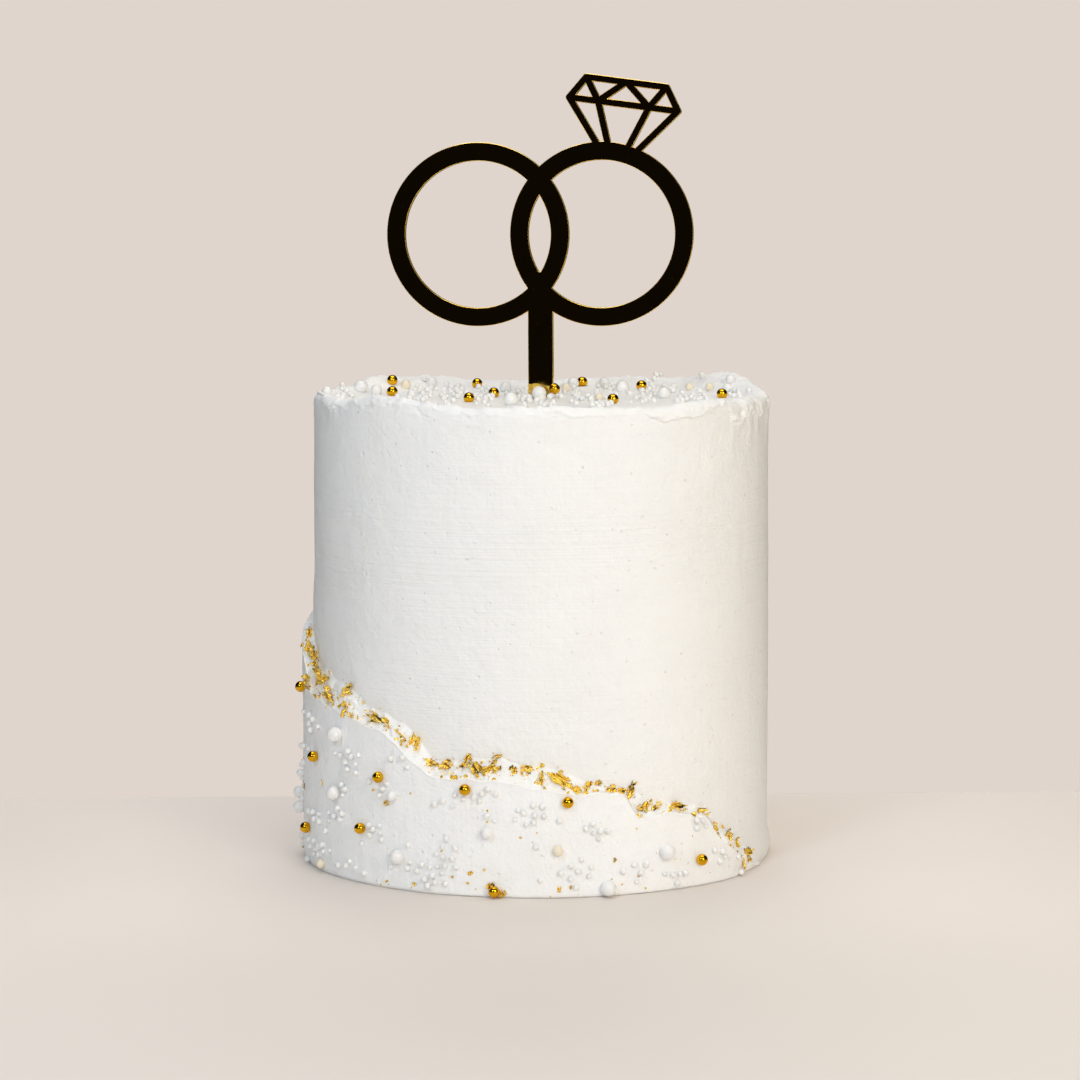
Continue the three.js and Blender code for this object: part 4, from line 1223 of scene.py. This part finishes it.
def put_floor():
    """A plain pale floor whose back edge shows behind the cake."""
    finish = Finish("pale_floor", Specular_IOR_Level=0.2)
    clouds = finish.clouds(6, 3)
    left, right, front, back = -1.6, 1.6, -1.1, 0.11
    corners = [(left, front, 0), (right, front, 0), (right, back, 0), (left, back, 0)]
    floor = mesh_object("floor", corners, [(0, 1, 2, 3)])
    floor.data.materials.append(finish.surface(
        Base_Color=finish.mixed(clouds, PALE_FLOOR, SHADED_FLOOR), Roughness=0.6 + 0.1 * clouds,
    ))


def put_backdrop():
    """A pale shell all round, seen by the camera alone, so that the gold reflects a dark room."""
    material = bpy.data.materials.new("pale_backdrop")
    material.use_nodes = True
    nodes = material.node_tree.nodes
    nodes.clear()
    glow = nodes.new("ShaderNodeEmission")
    glow.inputs["Color"].default_value = PALE_WALL
    material.node_tree.links.new(glow.outputs[0], nodes.new("ShaderNodeOutputMaterial").inputs[0])
    corners, faces = ball_shape(4)
    backdrop = mesh_object("backdrop", BACKDROP_RADIUS * corners, faces.tolist())
    backdrop.data.materials.append(material)
    backdrop.visible_diffuse = backdrop.visible_glossy = False
    backdrop.visible_transmission = backdrop.visible_shadow = False


def put_lights():
    """Two soft boxes side by side above the camera, which show as two small highlights on every
    ball, a wide light above, and wide fills that aren't reflected, in a dark room. Each is turned to
    the middle of the cake."""
    for name, place, size, power, colour, reflected in LIGHTS:
        light = bpy.data.lights.new(name, "AREA")
        light.size = size
        light.energy = power
        light.color = colour
        lamp = bpy.data.objects.new(name, light)
        bpy.context.scene.collection.objects.link(lamp)
        lamp.location = place
        lamp.rotation_euler = (Vector(LIT_POINT) - Vector(place)).to_track_quat("-Z", "Y").to_euler()
        lamp.visible_glossy = reflected
    world = bpy.data.worlds.new("dark_room")
    world.use_nodes = True
    world.node_tree.nodes["Background"].inputs["Color"].default_value = DARK_ROOM
    bpy.context.scene.world = world


def put_camera():
    """The camera that took the picture: its lens, its distance and its slight tilt and roll."""
    lens_mm, distance, height, pitch_down, roll = 113.8, 1.233, 0.2451, 6.07, -0.36
    camera = bpy.data.cameras.new("camera")
    camera.lens = lens_mm
    camera.sensor_width = 36
    viewer = bpy.data.objects.new("camera", camera)
    bpy.context.scene.collection.objects.link(viewer)
    turn = Matrix.Rotation(np.radians(90 - pitch_down), 4, "X") @ Matrix.Rotation(np.radians(roll), 4, "Z")
    viewer.matrix_world = Matrix.Translation((0, -distance, height)) @ turn
    bpy.context.scene.camera = viewer


# ---- putting it together ----

put_cake(icing("scraped_buttercream", WHITE_ICING, SHADED_ICING, 0.36, 0.14, 0.0))
# The coat's icing is painted a little whiter, as painted light.
put_coat(icing("torn_buttercream", COAT_WHITE_PAINTED_LIGHT, WHITE_ICING, 0.1, 0.25, 0.55))

balls, kinds = labelled(all_top_balls(), all_side_balls())
pearl = pearl_gloss("white_pearl", PEARL_WHITE, PEARL_SHADE)
ivory = pearl_gloss("ivory_pearl", IVORY_SUGAR, IVORY_SHADE)
put_balls("large_pearls", balls[kinds == WHITE], 4, pearl, "sugar_pearl")
put_balls("small_pearls", balls[kinds == SMALL], 2, pearl, "sugar_pearl")
put_balls("ivory_pearls", balls[kinds == IVORY], 4, ivory, "ivory_pearl")
put_balls("gold_balls", balls[kinds == GOLD], 4, gold_polish("gold_coating"), "gold_ball")

leaf = foil("gold_foil")
put_leaf(leaf)
put_crumbs(leaf)
put_topper(mirror_sheet("gold_mirror_face"), cut_edge("gold_cut_edge"), painted_back("gold_painted_back"))

put_floor()
put_backdrop()
put_lights()
put_camera()
bpy.context.scene.view_settings.view_transform = "Standard"

bpy.context.view_layer.update()
